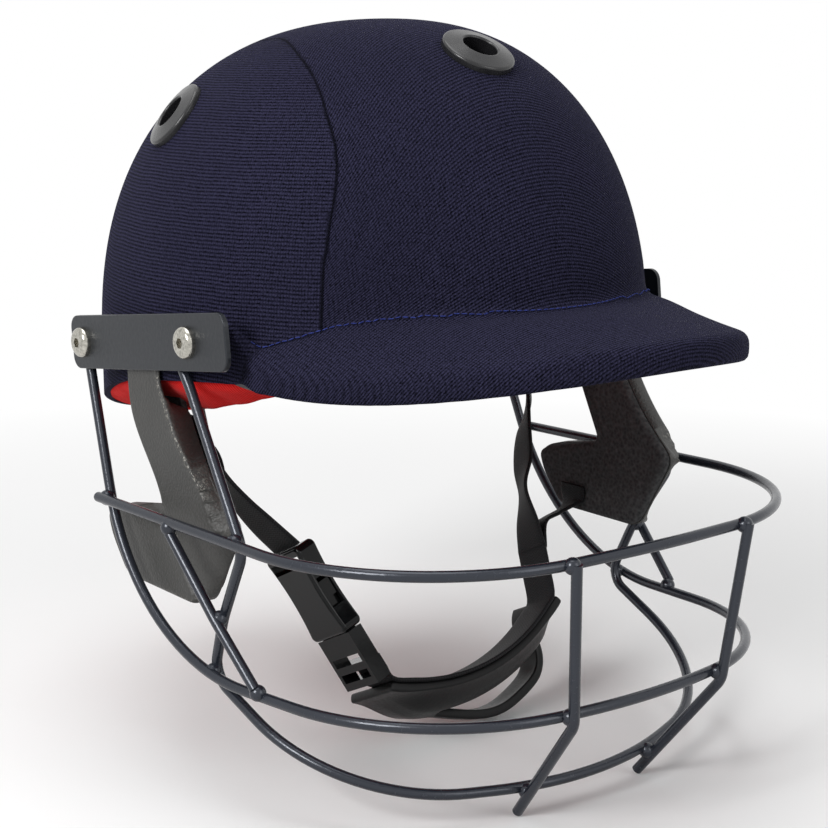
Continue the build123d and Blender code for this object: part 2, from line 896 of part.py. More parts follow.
def cheek_outline(inset, swing):
    """The outline of a cheek pad from the side, as (Y, Z), drawn in at its lower edges.

    swing is 0 for the right pad and 1 for the left one, which hangs further forward.
    """
    ahead = swing * cheek_swing_ahead
    up = swing * cheek_swing_up
    return [
        (cheek_strip_front_y - ahead, cheek_top_z),
        (cheek_strip_rear_y - inset - ahead, cheek_top_z),
        (cheek_bend_y - inset - ahead, cheek_bend_z),
        (cheek_waist_y - inset - ahead, cheek_waist_z + up),
        (cheek_toe_y - inset - ahead, cheek_toe_z + up),
        (cheek_heel_y - inset - ahead, cheek_heel_z + up),
        (cheek_foot_y - inset - ahead, cheek_foot_z + inset + up),
        (cheek_front_foot_y - ahead, cheek_front_foot_z + inset + up),
        (cheek_nose_y + inset - ahead, cheek_nose_z + inset + up),
        (cheek_brow_y + inset - ahead, cheek_brow_z + up),
        (cheek_knee_y + inset - ahead, cheek_knee_z + up),
    ]


def cheek_block(inset, x_from, x_to, swing):
    """A pad's outline as a block on the left side, up to just below the hem and the peak."""
    with BuildPart() as block:
        with BuildSketch(Plane.YZ.offset(x_from)):
            with BuildLine():
                Polyline(*cheek_outline(inset, swing), close=True)
            make_face()
        extrude(amount=x_to - x_from)
        add(above_hem(cover_thickness + cheek_gap_below_hem), mode=Mode.SUBTRACT)
        if swing:
            add(peak_block(cheek_gap_below_hem), mode=Mode.SUBTRACT)
    return block.part


def make_cheek_pad(swing):
    """A moulded foam pad on the left side, with the tab that goes up behind the plate."""
    tab_x = dome_half_width + cheek_tab_gap
    tab_middle_y = (cheek_tab_front_y + cheek_tab_rear_y) / 2 - swing * cheek_swing_tab
    tab_width = cheek_tab_rear_y - cheek_tab_front_y
    root_x = cheek_inner_x + cheek_edge_radius
    root_z = cheek_tab_root_z + cheek_tab_root_height / 2
    root_reach = swing * cheek_swing_root
    with BuildPart() as pad:
        add(cheek_block(0, cheek_inner_x, cheek_outer_x, swing))
        outer = pad.faces().filter_by(Axis.X).sort_by(Axis.X)[-1]
        fillet(outer.edges(), cheek_edge_radius)
        with BuildSketch(Plane.YZ.offset(root_x)):
            with Locations((tab_middle_y - root_reach / 2, root_z)):
                Rectangle(tab_width + root_reach, cheek_tab_root_height)
        extrude(amount=cheek_outer_x - root_x)
        with BuildSketch(Plane.YZ.offset(root_x)):
            with Locations((tab_middle_y, root_z)):
                Rectangle(tab_width, cheek_tab_root_height)
        extrude(amount=tab_x + cheek_tab_thickness - root_x)
        with BuildSketch(Plane.YZ.offset(tab_x)):
            with Locations((tab_middle_y, (cheek_tab_root_z + cheek_tab_top_z) / 2)):
                Rectangle(tab_width, cheek_tab_top_z - cheek_tab_root_z)
        extrude(amount=cheek_tab_thickness)
    return pad.part


def make_cheek_lining(swing):
    """The soft cloth lining on the inner face of a pad on the left side."""
    lining_x = cheek_inner_x - cheek_lining_thickness
    with BuildPart() as lining:
        add(cheek_block(cheek_lining_inset, lining_x, cheek_inner_x, swing))
        inner = lining.faces().filter_by(Axis.X).sort_by(Axis.X)[0]
        fillet(inner.edges(), cheek_lining_edge_radius)
    return lining.part


loop_lean = radians(loop_lean_angle)
loop_plane = Plane(
    (0, loop_origin_y, loop_origin_z),
    x_dir=(1, 0, 0),
    z_dir=(0, -cos(loop_lean), sin(loop_lean)),
)
rivet_plane = Plane(loop_plane.from_local_coords((0, rivet_rise, 0)), x_dir=(0, 1, 0), z_dir=(1, 0, 0))


def band(lines, thickness, width, plane=loop_plane):
    """A flat strap: a line drawn in a plane, thickened in it and as wide across it."""
    with BuildPart() as strap:
        with BuildSketch(plane):
            trace(lines, thickness)
        extrude(amount=width / 2, both=True)
    return strap.part


def rounded_line(points, radius):
    """A line through points of a plane, with rounded corners."""
    with BuildLine() as line:
        FilletPolyline(*points, radius=radius)
    return line.edges()


def rivet_bar(radius):
    """A round bar along X through the left strap, lining and liner."""
    return disc_along_x(rivet_plane.origin, strap_top_x - webbing_thickness, dome_half_width, radius)


def make_rivet():
    """The rivet at the top of the left strap, headed inside and ending on the shell."""
    face_x = strap_top_x - webbing_thickness / 2
    with BuildPart() as rivet:
        add(disc_along_x(rivet_plane.origin, face_x, dome_half_width, rivet_shank_diameter / 2))
        add(liner_space, mode=Mode.INTERSECT)
        add(disc_along_x(rivet_plane.origin, face_x - rivet_head_height, face_x, rivet_head_diameter / 2))
        head_rim = rivet.edges().filter_by(GeomType.CIRCLE).group_by(Axis.X)[0]
        fillet(head_rim, rivet_head_height / 2)
    return rivet.part


buckle_top = Vector(buckle_top_x, buckle_top_rise, 0)
buckle_low = Vector(buckle_low_x, buckle_low_rise, 0)
buckle_reach = buckle_low - buckle_top
buckle_length = buckle_reach.length
buckle_down = buckle_reach / buckle_length
buckle_out = Vector(buckle_down.Y, -buckle_down.X, 0)


def from_loop(direction):
    """A direction of the loop plane as a direction in space."""
    return loop_plane.from_local_coords(direction) - loop_plane.origin


buckle_plane = Plane(
    loop_plane.from_local_coords(buckle_top),
    x_dir=-loop_plane.z_dir,
    z_dir=from_loop(buckle_out),
)


def make_right_strap():
    """The right strap, from its rivet down to the buckle."""
    end = buckle_top - strap_gap * buckle_down
    points = [
        (-strap_top_x, strap_top_rise),
        (-strap_top_x, strap_turn_rise),
        (-right_strap_middle_x, right_strap_middle_rise),
        (end.X, end.Y),
    ]
    with BuildPart() as strap:
        add(band(rounded_line(points, strap_bend_radius), webbing_thickness, webbing_width))
        add(both_sides(rivet_bar(rivet_shank_diameter / 2)), mode=Mode.SUBTRACT)
    return strap.part


def ribbon(points, width):
    """A flat strap through points in space, lying across the straps' leaning plane."""
    with BuildPart() as strap:
        for number, point in enumerate(points):
            before = points[max(number - 1, 0)]
            after = points[min(number + 1, len(points) - 1)]
            run = (after - before).normalized()
            across = loop_plane.z_dir - run * loop_plane.z_dir.dot(run)
            with BuildSketch(Plane(point, x_dir=across, z_dir=run)):
                Rectangle(width, webbing_thickness)
        loft(ruled=True)
    return strap.part


def on_loop(x, rise, back=0):
    """A point in space from its place in the straps' plane and how far behind it."""
    return loop_plane.from_local_coords((x, rise, -back))


def chin_strap_end(rise):
    """A point on the line of the chin strap's left end, at a rise."""
    foot_x, foot_rise = arc_point(chin_strap_radius, chin_cup_end_angle)
    share = (rise - foot_rise) / (left_strap_low_rise - foot_rise)
    return foot_x + share * (left_strap_low_x - foot_x)


def make_left_strap():
    """The front strap of the left side, from its rivet down to the chin strap."""
    sewn_rise = left_strap_low_rise + strap_sewn_length
    points = [
        on_loop(strap_top_x, strap_top_rise),
        on_loop(strap_top_x, strap_turn_rise),
        on_loop(left_strap_upper_x, left_strap_upper_rise, left_strap_upper_back),
        on_loop(left_strap_bow_x, left_strap_bow_rise, left_strap_bow_back),
        on_loop(chin_strap_end(sewn_rise), sewn_rise),
        on_loop(left_strap_low_x, left_strap_low_rise),
    ]
    with BuildPart() as strap:
        add(ribbon(points, webbing_width))
        add(rivet_bar(rivet_shank_diameter / 2), mode=Mode.SUBTRACT)
    return strap.part


def make_left_rear_strap():
    """The rear strap of the left side, from the pad's lining to beside the chin strap."""
    lining_x = cheek_inner_x - cheek_lining_thickness - rear_strap_top_gap - webbing_thickness / 2
    sewn_rise = left_rear_strap_end_rise + strap_sewn_length
    beside = webbing_thickness + strap_gap
    top = Vector(lining_x, left_rear_strap_top_y, left_rear_strap_top_z)
    return ribbon(
        [
            top,
            top - along_z(strap_sewn_length),
            Vector(left_rear_strap_bend_x, left_rear_strap_bend_y, left_rear_strap_bend_z),
            on_loop(chin_strap_end(sewn_rise) + beside, sewn_rise),
            on_loop(chin_strap_end(left_rear_strap_end_rise) + beside, left_rear_strap_end_rise),
        ],
        rear_strap_width,
    )


def make_right_rear_strap():
    """The rear strap of the right side, from the pad's lining to beside the front strap."""
    lining_x = cheek_inner_x - cheek_lining_thickness - rear_strap_top_gap - webbing_thickness / 2
    beside = webbing_thickness + strap_gap
    sewn_rise = right_rear_strap_end_rise + strap_sewn_length
    top = Vector(-lining_x, right_rear_strap_top_y, right_rear_strap_top_z)
    return ribbon(
        [
            top,
            top - along_z(strap_sewn_length),
            on_loop(-right_strap_middle_x - beside, sewn_rise),
            on_loop(-right_strap_middle_x - beside, right_rear_strap_end_rise),
        ],
        rear_strap_width,
    )


def arc_point(radius, angle):
    """A point of the chin arc's plane, at an angle from straight down."""
    turn = radians(angle)
    return (chin_arc_x + radius * sin(turn), chin_arc_rise - radius * cos(turn))


chin_strap_radius = chin_arc_radius - chin_cup_gap - webbing_thickness / 2


def make_chin_strap():
    """The webbing from the buckle, through the chin cup and up to the left strap."""
    start = buckle_top + chin_strap_start_share * buckle_reach
    start = start - (tongue_thickness / 2 + strap_gap + webbing_thickness / 2) * buckle_out
    sweep_angle = chin_cup_end_angle - chin_cup_start_angle
    with BuildLine() as line:
        Line((start.X, start.Y), arc_point(chin_strap_radius, chin_cup_start_angle))
        CenterArc((chin_arc_x, chin_arc_rise), chin_strap_radius, chin_cup_start_angle - 90, sweep_angle)
        Line(arc_point(chin_strap_radius, chin_cup_end_angle), (left_strap_low_x, left_strap_low_rise))
    return band(line.edges(), webbing_thickness, webbing_width)


def make_chin_cup():
    """The curved chin pad: two bands side by side, joined at both ends."""
    width = chin_cup_front_width + chin_cup_slot_width + chin_cup_rear_width
    low_z = chin_cup_front_reach - width
    with BuildPart() as cup:
        with BuildSketch(loop_plane.offset(low_z)):
            with BuildLine():
                inner = chin_arc_radius
                outer = chin_arc_radius + chin_cup_thickness
                sweep_angle = chin_cup_end_angle - chin_cup_start_angle
                CenterArc((chin_arc_x, chin_arc_rise), inner, chin_cup_start_angle - 90, sweep_angle)
                CenterArc((chin_arc_x, chin_arc_rise), outer, chin_cup_start_angle - 90, sweep_angle)
                Line(arc_point(inner, chin_cup_start_angle), arc_point(outer, chin_cup_start_angle))
                Line(arc_point(inner, chin_cup_end_angle), arc_point(outer, chin_cup_end_angle))
            make_face()
        extrude(amount=width)
        with BuildSketch(loop_plane.offset(low_z + chin_cup_rear_width)):
            with BuildLine():
                apex = (chin_arc_x, chin_arc_rise)
                left_end = arc_point(2 * chin_arc_radius, chin_cup_slot_start_angle)
                right_end = arc_point(2 * chin_arc_radius, chin_cup_slot_end_angle)
                Polyline(apex, left_end, right_end, close=True)
            make_face()
        extrude(amount=chin_cup_slot_width, mode=Mode.SUBTRACT)
    return cup.part


def buckle_block(width, thickness, start, end, middle=0):
    """A block in the buckle's own frame, between two distances along it."""
    with BuildPart() as block:
        with BuildSketch(buckle_plane.offset(-thickness / 2)):
            with Locations((middle, (start + end) / 2)):
                Rectangle(width, end - start)
        extrude(amount=thickness)
    return block.part


def make_housing():
    """The female half of the buckle: a waisted body, open at its lower end."""
    half = housing_width / 2
    waist = housing_waist / 2
    cavity_width = housing_waist - 2 * housing_wall
    cavity_thickness = housing_thickness - 2 * housing_wall
    slot_width = webbing_width + housing_wall
    window_start = window_start_share * housing_length
    window_end = window_end_share * housing_length
    with BuildPart() as housing:
        with BuildSketch(buckle_plane.offset(-housing_thickness / 2)) as outline:
            with BuildLine():
                Line((-half, 0), (half, 0))
                ThreePointArc((half, 0), (waist, housing_length / 2), (half, housing_length))
                Line((half, housing_length), (-half, housing_length))
                ThreePointArc((-half, housing_length), (-waist, housing_length / 2), (-half, 0))
            make_face()
            fillet(outline.vertices(), housing_corner_radius)
        extrude(amount=housing_thickness)
        broad_faces = housing.faces().filter_by(Axis(buckle_plane.origin, buckle_plane.z_dir))
        fillet(broad_faces.edges(), housing_edge_radius)
        slot_end = housing_bar + housing_slot_length
        add(buckle_block(slot_width, far / 8, housing_bar, slot_end), mode=Mode.SUBTRACT)
        cavity_start = cavity_start_share * housing_length
        add(buckle_block(cavity_width, cavity_thickness, cavity_start, far / 8), mode=Mode.SUBTRACT)
        add(buckle_block(far / 8, cavity_thickness, window_start, window_end), mode=Mode.SUBTRACT)
    return housing.part


def make_tongue():
    """The male half of the buckle, with its guide rail and two webbing slots."""
    start = housing_length + buckle_gap
    guide_thickness = housing_thickness - 2 * housing_wall - 2 * buckle_gap
    slot_width = tongue_width - 2 * tongue_side_bar
    with BuildPart() as tongue:
        add(buckle_block(tongue_width, tongue_thickness, start, buckle_length))
        add(buckle_block(guide_width, guide_thickness, start - guide_share * housing_length, start))
        for number in (1, 2):
            slot_end = buckle_length - number * tongue_bar - (number - 1) * tongue_slot_length
            slot = buckle_block(slot_width, far / 8, slot_end - tongue_slot_length, slot_end)
            add(slot, mode=Mode.SUBTRACT)
    return tongue.part


def make_prongs():
    """The two springy arms of the tongue, with barbs that catch in the housing's windows."""
    start = housing_length + buckle_gap
    tip = start - prong_share * housing_length
    thickness = housing_thickness - 2 * housing_wall - 2 * buckle_gap
    edge = housing_waist / 2 - housing_wall - buckle_gap
    with BuildPart() as prongs:
        add(buckle_block(prong_width, thickness, tip, start, edge - prong_width / 2))
        add(buckle_block(prong_barb, thickness, tip, tip + prong_barb_length, edge + prong_barb / 2))
        mirror(about=Plane(buckle_plane.origin, z_dir=buckle_plane.x_dir))
    return prongs.part


def save(name, part):
    """Write one named sub-part as a STEP file."""
    part.label = name
    export_step(part, f"parts/{name}.step")
    solids = part.solids()
    print(name, len(solids), "solids", round(part.volume), "mm3", "valid" if part.is_valid else "NOT VALID")


top_bar = make_top_bar()
middle_bar = make_middle_bar()
bottom_bar = make_bottom_bar()
brace = make_brace()
vertical = make_vertical()
right_brace = mirror(brace, about=Plane.YZ)
right_vertical = mirror(vertical, about=Plane.YZ)

save("grille_top_bar", top_bar)
save("grille_middle_bar", middle_bar)
save("grille_bottom_bar", bottom_bar)
save("grille_brace_left", brace)
save("grille_brace_right", right_brace)
save("grille_vertical_left", vertical)
save("grille_vertical_right", right_vertical)
save(
    "grille_welds",
    make_welds([top_bar, middle_bar, bottom_bar, brace, vertical, right_brace, right_vertical]),
)

save("shell", make_shell())
save("impact_liner", make_liner())
save("red_lining", make_lining())
save("peak_core", make_peak_core())
save("fabric_cover", make_cover())
for place, seat in eyelet_seats.items():
    save(f"eyelet_{place}", make_eyelet(seat))
save("eyelet_collars", Compound([make_collar(seat).solid() for seat in eyelet_seats.values()]))

plate = make_side_plate()
save("side_plate_left", plate)
save("side_plate_right", mirror(plate, about=Plane.YZ))
plate_screws = []
plate_nuts = []
for point in screw_points:
    plate_screws += both_sides(make_screw(point))
    plate_nuts += both_sides(make_nut(point))
rear_spacer = make_spacer(rear_screw_point, plate_inner_x - wire_diameter)
front_spacer = make_spacer(front_screw_point, plate_inner_x)
save("plate_screws", Compound(plate_screws))
save("plate_nuts", Compound(plate_nuts))
save("plate_spacers", Compound(both_sides(rear_spacer) + both_sides(front_spacer)))

save("cheek_pad_left", make_cheek_pad(1))
save("cheek_pad_right", mirror(make_cheek_pad(0), about=Plane.YZ))
save("cheek_lining_left", make_cheek_lining(1))
save("cheek_lining_right", mirror(make_cheek_lining(0), about=Plane.YZ))

side_pad = make_comfort_pad(0, far, side_pad_front_y, side_pad_rear_y, -far, pad_top_z)
save("side_pad_left", side_pad)
save("side_pad_right", mirror(side_pad, about=Plane.YZ))
brow_sides = brow_pad_half_width
save("brow_pad", make_comfort_pad(-brow_sides, brow_sides, -far, brow_pad_rear_y, -far, brow_pad_top_z))
rear_sides = rear_pad_half_width
save(
    "rear_pad",
    make_comfort_pad(-rear_sides, rear_sides, rear_pad_front_y, far, rear_pad_bottom_z, rear_pad_top_z),
)
crown_sides = crown_pad_half_width
save(
    "crown_pad",
    make_comfort_pad(-crown_sides, crown_sides, crown_pad_front_y, crown_pad_rear_y, pad_top_z, far),
)

save("strap_right_front", make_right_strap())
save("strap_right_rear", make_right_rear_strap())
save("strap_left_front", make_left_strap())
save("strap_left_rear", make_left_rear_strap())
save("chin_strap", make_chin_strap())
save("chin_cup", make_chin_cup())
save("strap_rivets", Compound(both_sides(make_rivet())))
save("buckle_housing", make_housing())
save("buckle_tongue", make_tongue())
save("buckle_prongs", make_prongs())
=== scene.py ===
"""Cricket helmet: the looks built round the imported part. Shapes are worked out in millimetres
in the part's own frame (X the wearer's left, -Y the front, Z up) and stored in metres."""
import math

import bmesh
import bpy
import numpy as np
from mathutils import Matrix, Vector
from mathutils.geometry import delaunay_2d_cdt


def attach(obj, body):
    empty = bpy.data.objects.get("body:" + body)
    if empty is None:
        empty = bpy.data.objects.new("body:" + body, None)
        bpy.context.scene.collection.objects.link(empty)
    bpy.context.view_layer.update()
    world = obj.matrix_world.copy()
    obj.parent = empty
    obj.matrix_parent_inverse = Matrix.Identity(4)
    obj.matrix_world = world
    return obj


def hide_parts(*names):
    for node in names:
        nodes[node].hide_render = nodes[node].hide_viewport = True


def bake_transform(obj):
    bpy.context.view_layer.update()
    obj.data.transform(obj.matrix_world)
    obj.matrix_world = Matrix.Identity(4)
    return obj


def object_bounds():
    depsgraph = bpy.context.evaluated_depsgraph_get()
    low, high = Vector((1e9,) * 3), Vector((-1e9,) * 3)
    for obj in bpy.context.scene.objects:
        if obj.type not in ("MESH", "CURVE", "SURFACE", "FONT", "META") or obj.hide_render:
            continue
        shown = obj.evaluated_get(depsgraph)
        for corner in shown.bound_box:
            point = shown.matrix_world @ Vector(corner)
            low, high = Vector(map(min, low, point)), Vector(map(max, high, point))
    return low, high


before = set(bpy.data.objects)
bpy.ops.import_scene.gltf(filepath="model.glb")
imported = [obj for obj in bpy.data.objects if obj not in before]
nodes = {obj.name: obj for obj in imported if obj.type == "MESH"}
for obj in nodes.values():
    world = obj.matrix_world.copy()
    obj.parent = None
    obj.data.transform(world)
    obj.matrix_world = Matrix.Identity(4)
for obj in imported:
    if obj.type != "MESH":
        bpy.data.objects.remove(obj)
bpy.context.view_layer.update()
MM = 0.001

# The dome over its cloth: half its width, its axis, its reach to the front and the rear, its rise
HALF, CROWN_Y, FRONT, REAR = 104.0, -19.8, 106.8, 145.3
BASE, HEIGHT, ROUNDNESS = 2.0, 131.9, 2.3
# The cover's thickness, and how far inside its face the lining, the comfort pads and the head begin
COVER, LINING_IN, PAD_IN, HEAD_IN = 1.5, 17.5, 18.7, 25.7
MERIDIAN_STEPS = 240

# The eyelets' places in plan, and the holes that they fill in the cover and in the lining
EYELETS = [(0.0, -75.0), (74.5, 18.0), (-74.5, 18.0)]
COVER_HOLE, LINING_HOLE, LINING_DEPTH = 10.5, 8.4, 18.0

# The straps' leaning plane
LOOP_AT = np.array([0.0, -67.5, -128.0])
LOOP_RISE = np.array([0.0, 0.43523, 0.90032])
LOOP_OUT = np.array([0.0, -0.90032, 0.43523])


def unit(v):
    v = np.asarray(v, float)
    return v / np.linalg.norm(v)


def hermite(a, b, slope_a, slope_b, t):
    """A smooth way from a to b, with the slopes that it has there, at a share of it."""
    return (
        a * (1 + 2 * t) * (1 - t) ** 2 + b * t * t * (3 - 2 * t)
        + slope_a * t * (1 - t) ** 2 - slope_b * t * t * (1 - t)
    )


def smooth_line(xs, ys):
    """A smooth function through points."""
    xs, ys = np.array(xs, float), np.array(ys, float)
    slope = np.gradient(ys, xs)

    def at(x):
        x = np.clip(x, xs[0], xs[-1])
        i = np.clip(np.searchsorted(xs, x) - 1, 0, len(xs) - 2)
        h = xs[i + 1] - xs[i]
        return hermite(ys[i], ys[i + 1], h * slope[i], h * slope[i + 1], (x - xs[i]) / h)

    return at


def step(x, low, high):
    """0 below low, 1 above high, smooth between."""
    t = np.clip((np.asarray(x, float) - low) / (high - low), 0, 1)
    return t * t * (3 - 2 * t)


# The heights of the shell's edge and of the lining's lowest line, from the front to the rear
hem_z = smooth_line([-134, -93, -30, 24, 60, 136], [12, 7, 3, -5.1, -15.4, -44])
lining_z = smooth_line(
    [-134, -93, -66, -37, -6, 28, 56, 136], [10.5, 5.5, 0.8, -9, -14.6, -20, -23.5, -45.5]
)


def plan_radius(turn, inset=0.0):
    """How far the skirt is from the dome's axis; turn is 0 at the front, +90 degrees at the wearer's left."""
    s, c = math.sin(turn), math.cos(turn)
    length = (FRONT if c > 0 else REAR) - inset
    return 1 / math.sqrt((s / (HALF - inset)) ** 2 + (c / length) ** 2)


def shrink(z, inset=0.0):
    """The dome's plan at a height, as a share of its skirt's."""
    rise = np.clip((np.asarray(z, float) - BASE) / (HEIGHT - inset), 0, 1)
    return (1 - rise**ROUNDNESS) ** (1 / ROUNDNESS)


def meridian(radius, inset=0.0):
    """The dome's section over one direction, from the crown down, as (distance from the axis, height)."""
    angles = np.linspace(math.pi / 2, 0, MERIDIAN_STEPS)
    zs = BASE + (HEIGHT - inset) * np.sin(angles) ** (2 / ROUNDNESS)
    return np.column_stack([radius * np.cos(angles) ** (2 / ROUNDNESS), zs])


def dome_point(turn, z, inset=0.0):
    r = plan_radius(turn, inset) * float(shrink(z, inset))
    return np.array([r * math.sin(turn), CROWN_Y - r * math.cos(turn), z])


def dome_z(x, y, inset=0.0):
    """The height of the dome over a place in plan."""
    length = (FRONT if y < CROWN_Y else REAR) - inset
    flat = math.hypot(x / (HALF - inset), (y - CROWN_Y) / length)
    return BASE + (HEIGHT - inset) * max(1 - flat**ROUNDNESS, 0.0) ** (1 / ROUNDNESS)


def dome_normal(x, y):
    e = 0.05
    dx = (dome_z(x + e, y) - dome_z(x - e, y)) / (2 * e)
    dy = (dome_z(x, y + e) - dome_z(x, y - e)) / (2 * e)
    return unit([-dx, -dy, 1])


eyelet_seats = [(np.array((x, y, dome_z(x, y))), dome_normal(x, y)) for x, y in EYELETS]


# Paths and outlines


def distance_along(path):
    """How far each point of a path is from its start."""
    return np.concatenate([[0], np.cumsum(np.linalg.norm(np.diff(path, axis=0), axis=1))])


def spaced(path, count):
    """A path resampled to points an equal distance apart."""
    path = np.asarray(path, float)
    run = distance_along(path)
    want = np.linspace(0, run[-1], count)
    return np.stack([np.interp(want, run, path[:, k]) for k in range(path.shape[1])], axis=1)


def dense(outline, pitch):
    """A closed outline resampled at about a pitch."""
    outline = np.asarray(outline, float)
    closed = np.vstack([outline, outline[:1]])
    return spaced(closed, max(int(distance_along(closed)[-1] / pitch), 12) + 1)[:-1]


def bend(before, here, after, reach, most_share, steps=8):
    """A corner cut back by its reach, up to a share of its sides, and bent smoothly."""
    a, b = np.linalg.norm(here - before), np.linalg.norm(after - here)
    cut = min(reach, most_share * a, most_share * b)
    if cut < 1e-6:
        return [here]
    start, end = here + (before - here) * cut / a, here + (after - here) * cut / b
    return [(1 - t) ** 2 * start + 2 * t * (1 - t) * here + t * t * end for t in np.linspace(0, 1, steps)]


def rounded(corners, reaches, steps=8):
    """An open path with each inner corner bent."""
    corners = [np.asarray(c, float) for c in corners]
    out = [corners[0]]
    for before, here, after, reach in zip(corners, corners[1:], corners[2:], reaches):
        out += bend(before, here, after, reach, 0.48, steps)
    return np.array([*out, corners[-1]])


def rounded_loop(corners, reaches):
    """A closed outline with each corner bent."""
    corners = [np.asarray(c, float) for c in corners]
    out = []
    for i, reach in enumerate(reaches):
        out += bend(corners[i - 1], corners[i], corners[(i + 1) % len(corners)], reach, 0.49)
    return out


def rounded_box(low, high, corner, steps=8):
    """A rectangle's outline with rounded corners."""
    (x0, y0), (x1, y1) = low, high
    middles = [(x1 - corner, y1 - corner), (x0 + corner, y1 - corner)]
    middles += [(x0 + corner, y0 + corner), (x1 - corner, y0 + corner)]
    out = []
    for quarter, (cx, cy) in enumerate(middles):
        for k in range(steps + 1):
            turn = math.radians(90 * (quarter + k / steps))
            out.append((cx + corner * math.cos(turn), cy + corner * math.sin(turn)))
    return dense(out, 3.0)


def curve_through(points, per_span=10):
    """A smooth curve through points of any number of values (centripetal)."""
    p = np.asarray(points, float)
    p = np.vstack([2 * p[0] - p[1], p, 2 * p[-1] - p[-2]])
    out = []
    for i in range(1, len(p) - 2):
        p0, p1, p2, p3 = p[i - 1 : i + 3]
        d = [max(np.linalg.norm(b[:3] - a[:3]), 1e-6) ** 0.5 for a, b in ((p0, p1), (p1, p2), (p2, p3))]
        m1 = (p1 - p0) / d[0] - (p2 - p0) / (d[0] + d[1]) + (p2 - p1) / d[1]
        m2 = (p2 - p1) / d[1] - (p3 - p1) / (d[1] + d[2]) + (p3 - p2) / d[2]
        for t in np.linspace(0, 1, per_span, endpoint=False):
            out.append(hermite(p1, p2, m1 * d[1], m2 * d[1], t))
    out.append(p[-2])
    return np.array(out)


def line_distance(points, line):
    """Each point's distance to an open line in the plane, and its side of it (+ left)."""
    line = np.asarray(line, float)
    a, ab = line[None, :-1], np.diff(line, axis=0)[None]
    p = np.asarray(points, float)[:, None, :]
    t = np.clip(((p - a) * ab).sum(2) / np.maximum((ab**2).sum(2), 1e-12), 0, 1)
    gap = p - (a + t[..., None] * ab)
    d = np.linalg.norm(gap, axis=2)
    k, rows = d.argmin(1), np.arange(len(d))
    side = np.sign(ab[0, k, 0] * gap[rows, k, 1] - ab[0, k, 1] * gap[rows, k, 0])
    return d[rows, k], side


def edge_distance(points, outline):
    """Each point's distance to a closed outline in the plane."""
    return line_distance(points, np.vstack([outline, outline[:1]]))[0]


def inside(points, outline):
    x, y = np.asarray(points, float).T
    a = np.asarray(outline, float)
    b = np.roll(a, -1, axis=0)
    hit = np.zeros(len(x), bool)
    for (x1, y1), (x2, y2) in zip(a, b):
        cross = (y1 > y) != (y2 > y)
        with np.errstate(divide="ignore", invalid="ignore"):
            hit ^= cross & (x < (x2 - x1) * (y - y1) / (y2 - y1) + x1)
    return hit


# Meshes


def make_object(name, points, faces, material, lays=None):
    """A smooth mesh object from points in millimetres; lays are named vectors, one for each point."""
    mesh = bpy.data.meshes.new(name)
    mesh.from_pydata((np.asarray(points, float) * MM).tolist(), [], [list(map(int, f)) for f in faces])
    mesh.validate()
    mesh.update()
    for key, values in (lays or {}).items():
        layer = mesh.attributes.new(key, "FLOAT_VECTOR", "POINT")
        layer.data.foreach_set("vector", np.asarray(values, np.float32).ravel())
    mesh.polygons.foreach_set("use_smooth", [True] * len(mesh.polygons))
    thing = bpy.data.objects.new(name, mesh)
    bpy.context.scene.collection.objects.link(thing)
    mesh.materials.append(material)
    return thing


def grid_faces(rows, columns, closed_rows=False, closed_columns=False):
    """Quads of a grid whose point number is row * columns + column."""
    faces = []
    for i in range(rows if closed_rows else rows - 1):
        for j in range(columns if closed_columns else columns - 1):
            i2, j2 = (i + 1) % rows, (j + 1) % columns
            faces.append((i * columns + j, i * columns + j2, i2 * columns + j2, i2 * columns + j))
    return faces


def directions(count):
    """Directions round the dome's axis, with their sines and cosines."""
    for k in range(count):
        turn = -math.pi + 2 * math.pi * k / count
        yield turn, math.sin(turn), math.cos(turn)


def dome_sheet(name, rows, material, lays):
    """A sheet whose rows of points all run down from one point at the crown."""
    points = np.array(rows)
    turns, count = points.shape[:2]
    number = np.arange(turns * count)
    number[::count] = 0
    faces = []
    for a, b, c, d in grid_faces(turns, count, closed_rows=True):
        faces.append(tuple(dict.fromkeys(int(number[v]) for v in (a, d, c, b))))
    used = sorted({v for f in faces for v in f})
    index = {v: i for i, v in enumerate(used)}
    faces = [tuple(index[v] for v in f) for f in faces]
    lays = {key: np.asarray(values).reshape(-1, 3)[used] for key, values in lays.items()}
    return make_object(name, points.reshape(-1, 3)[used], faces, material, lays)


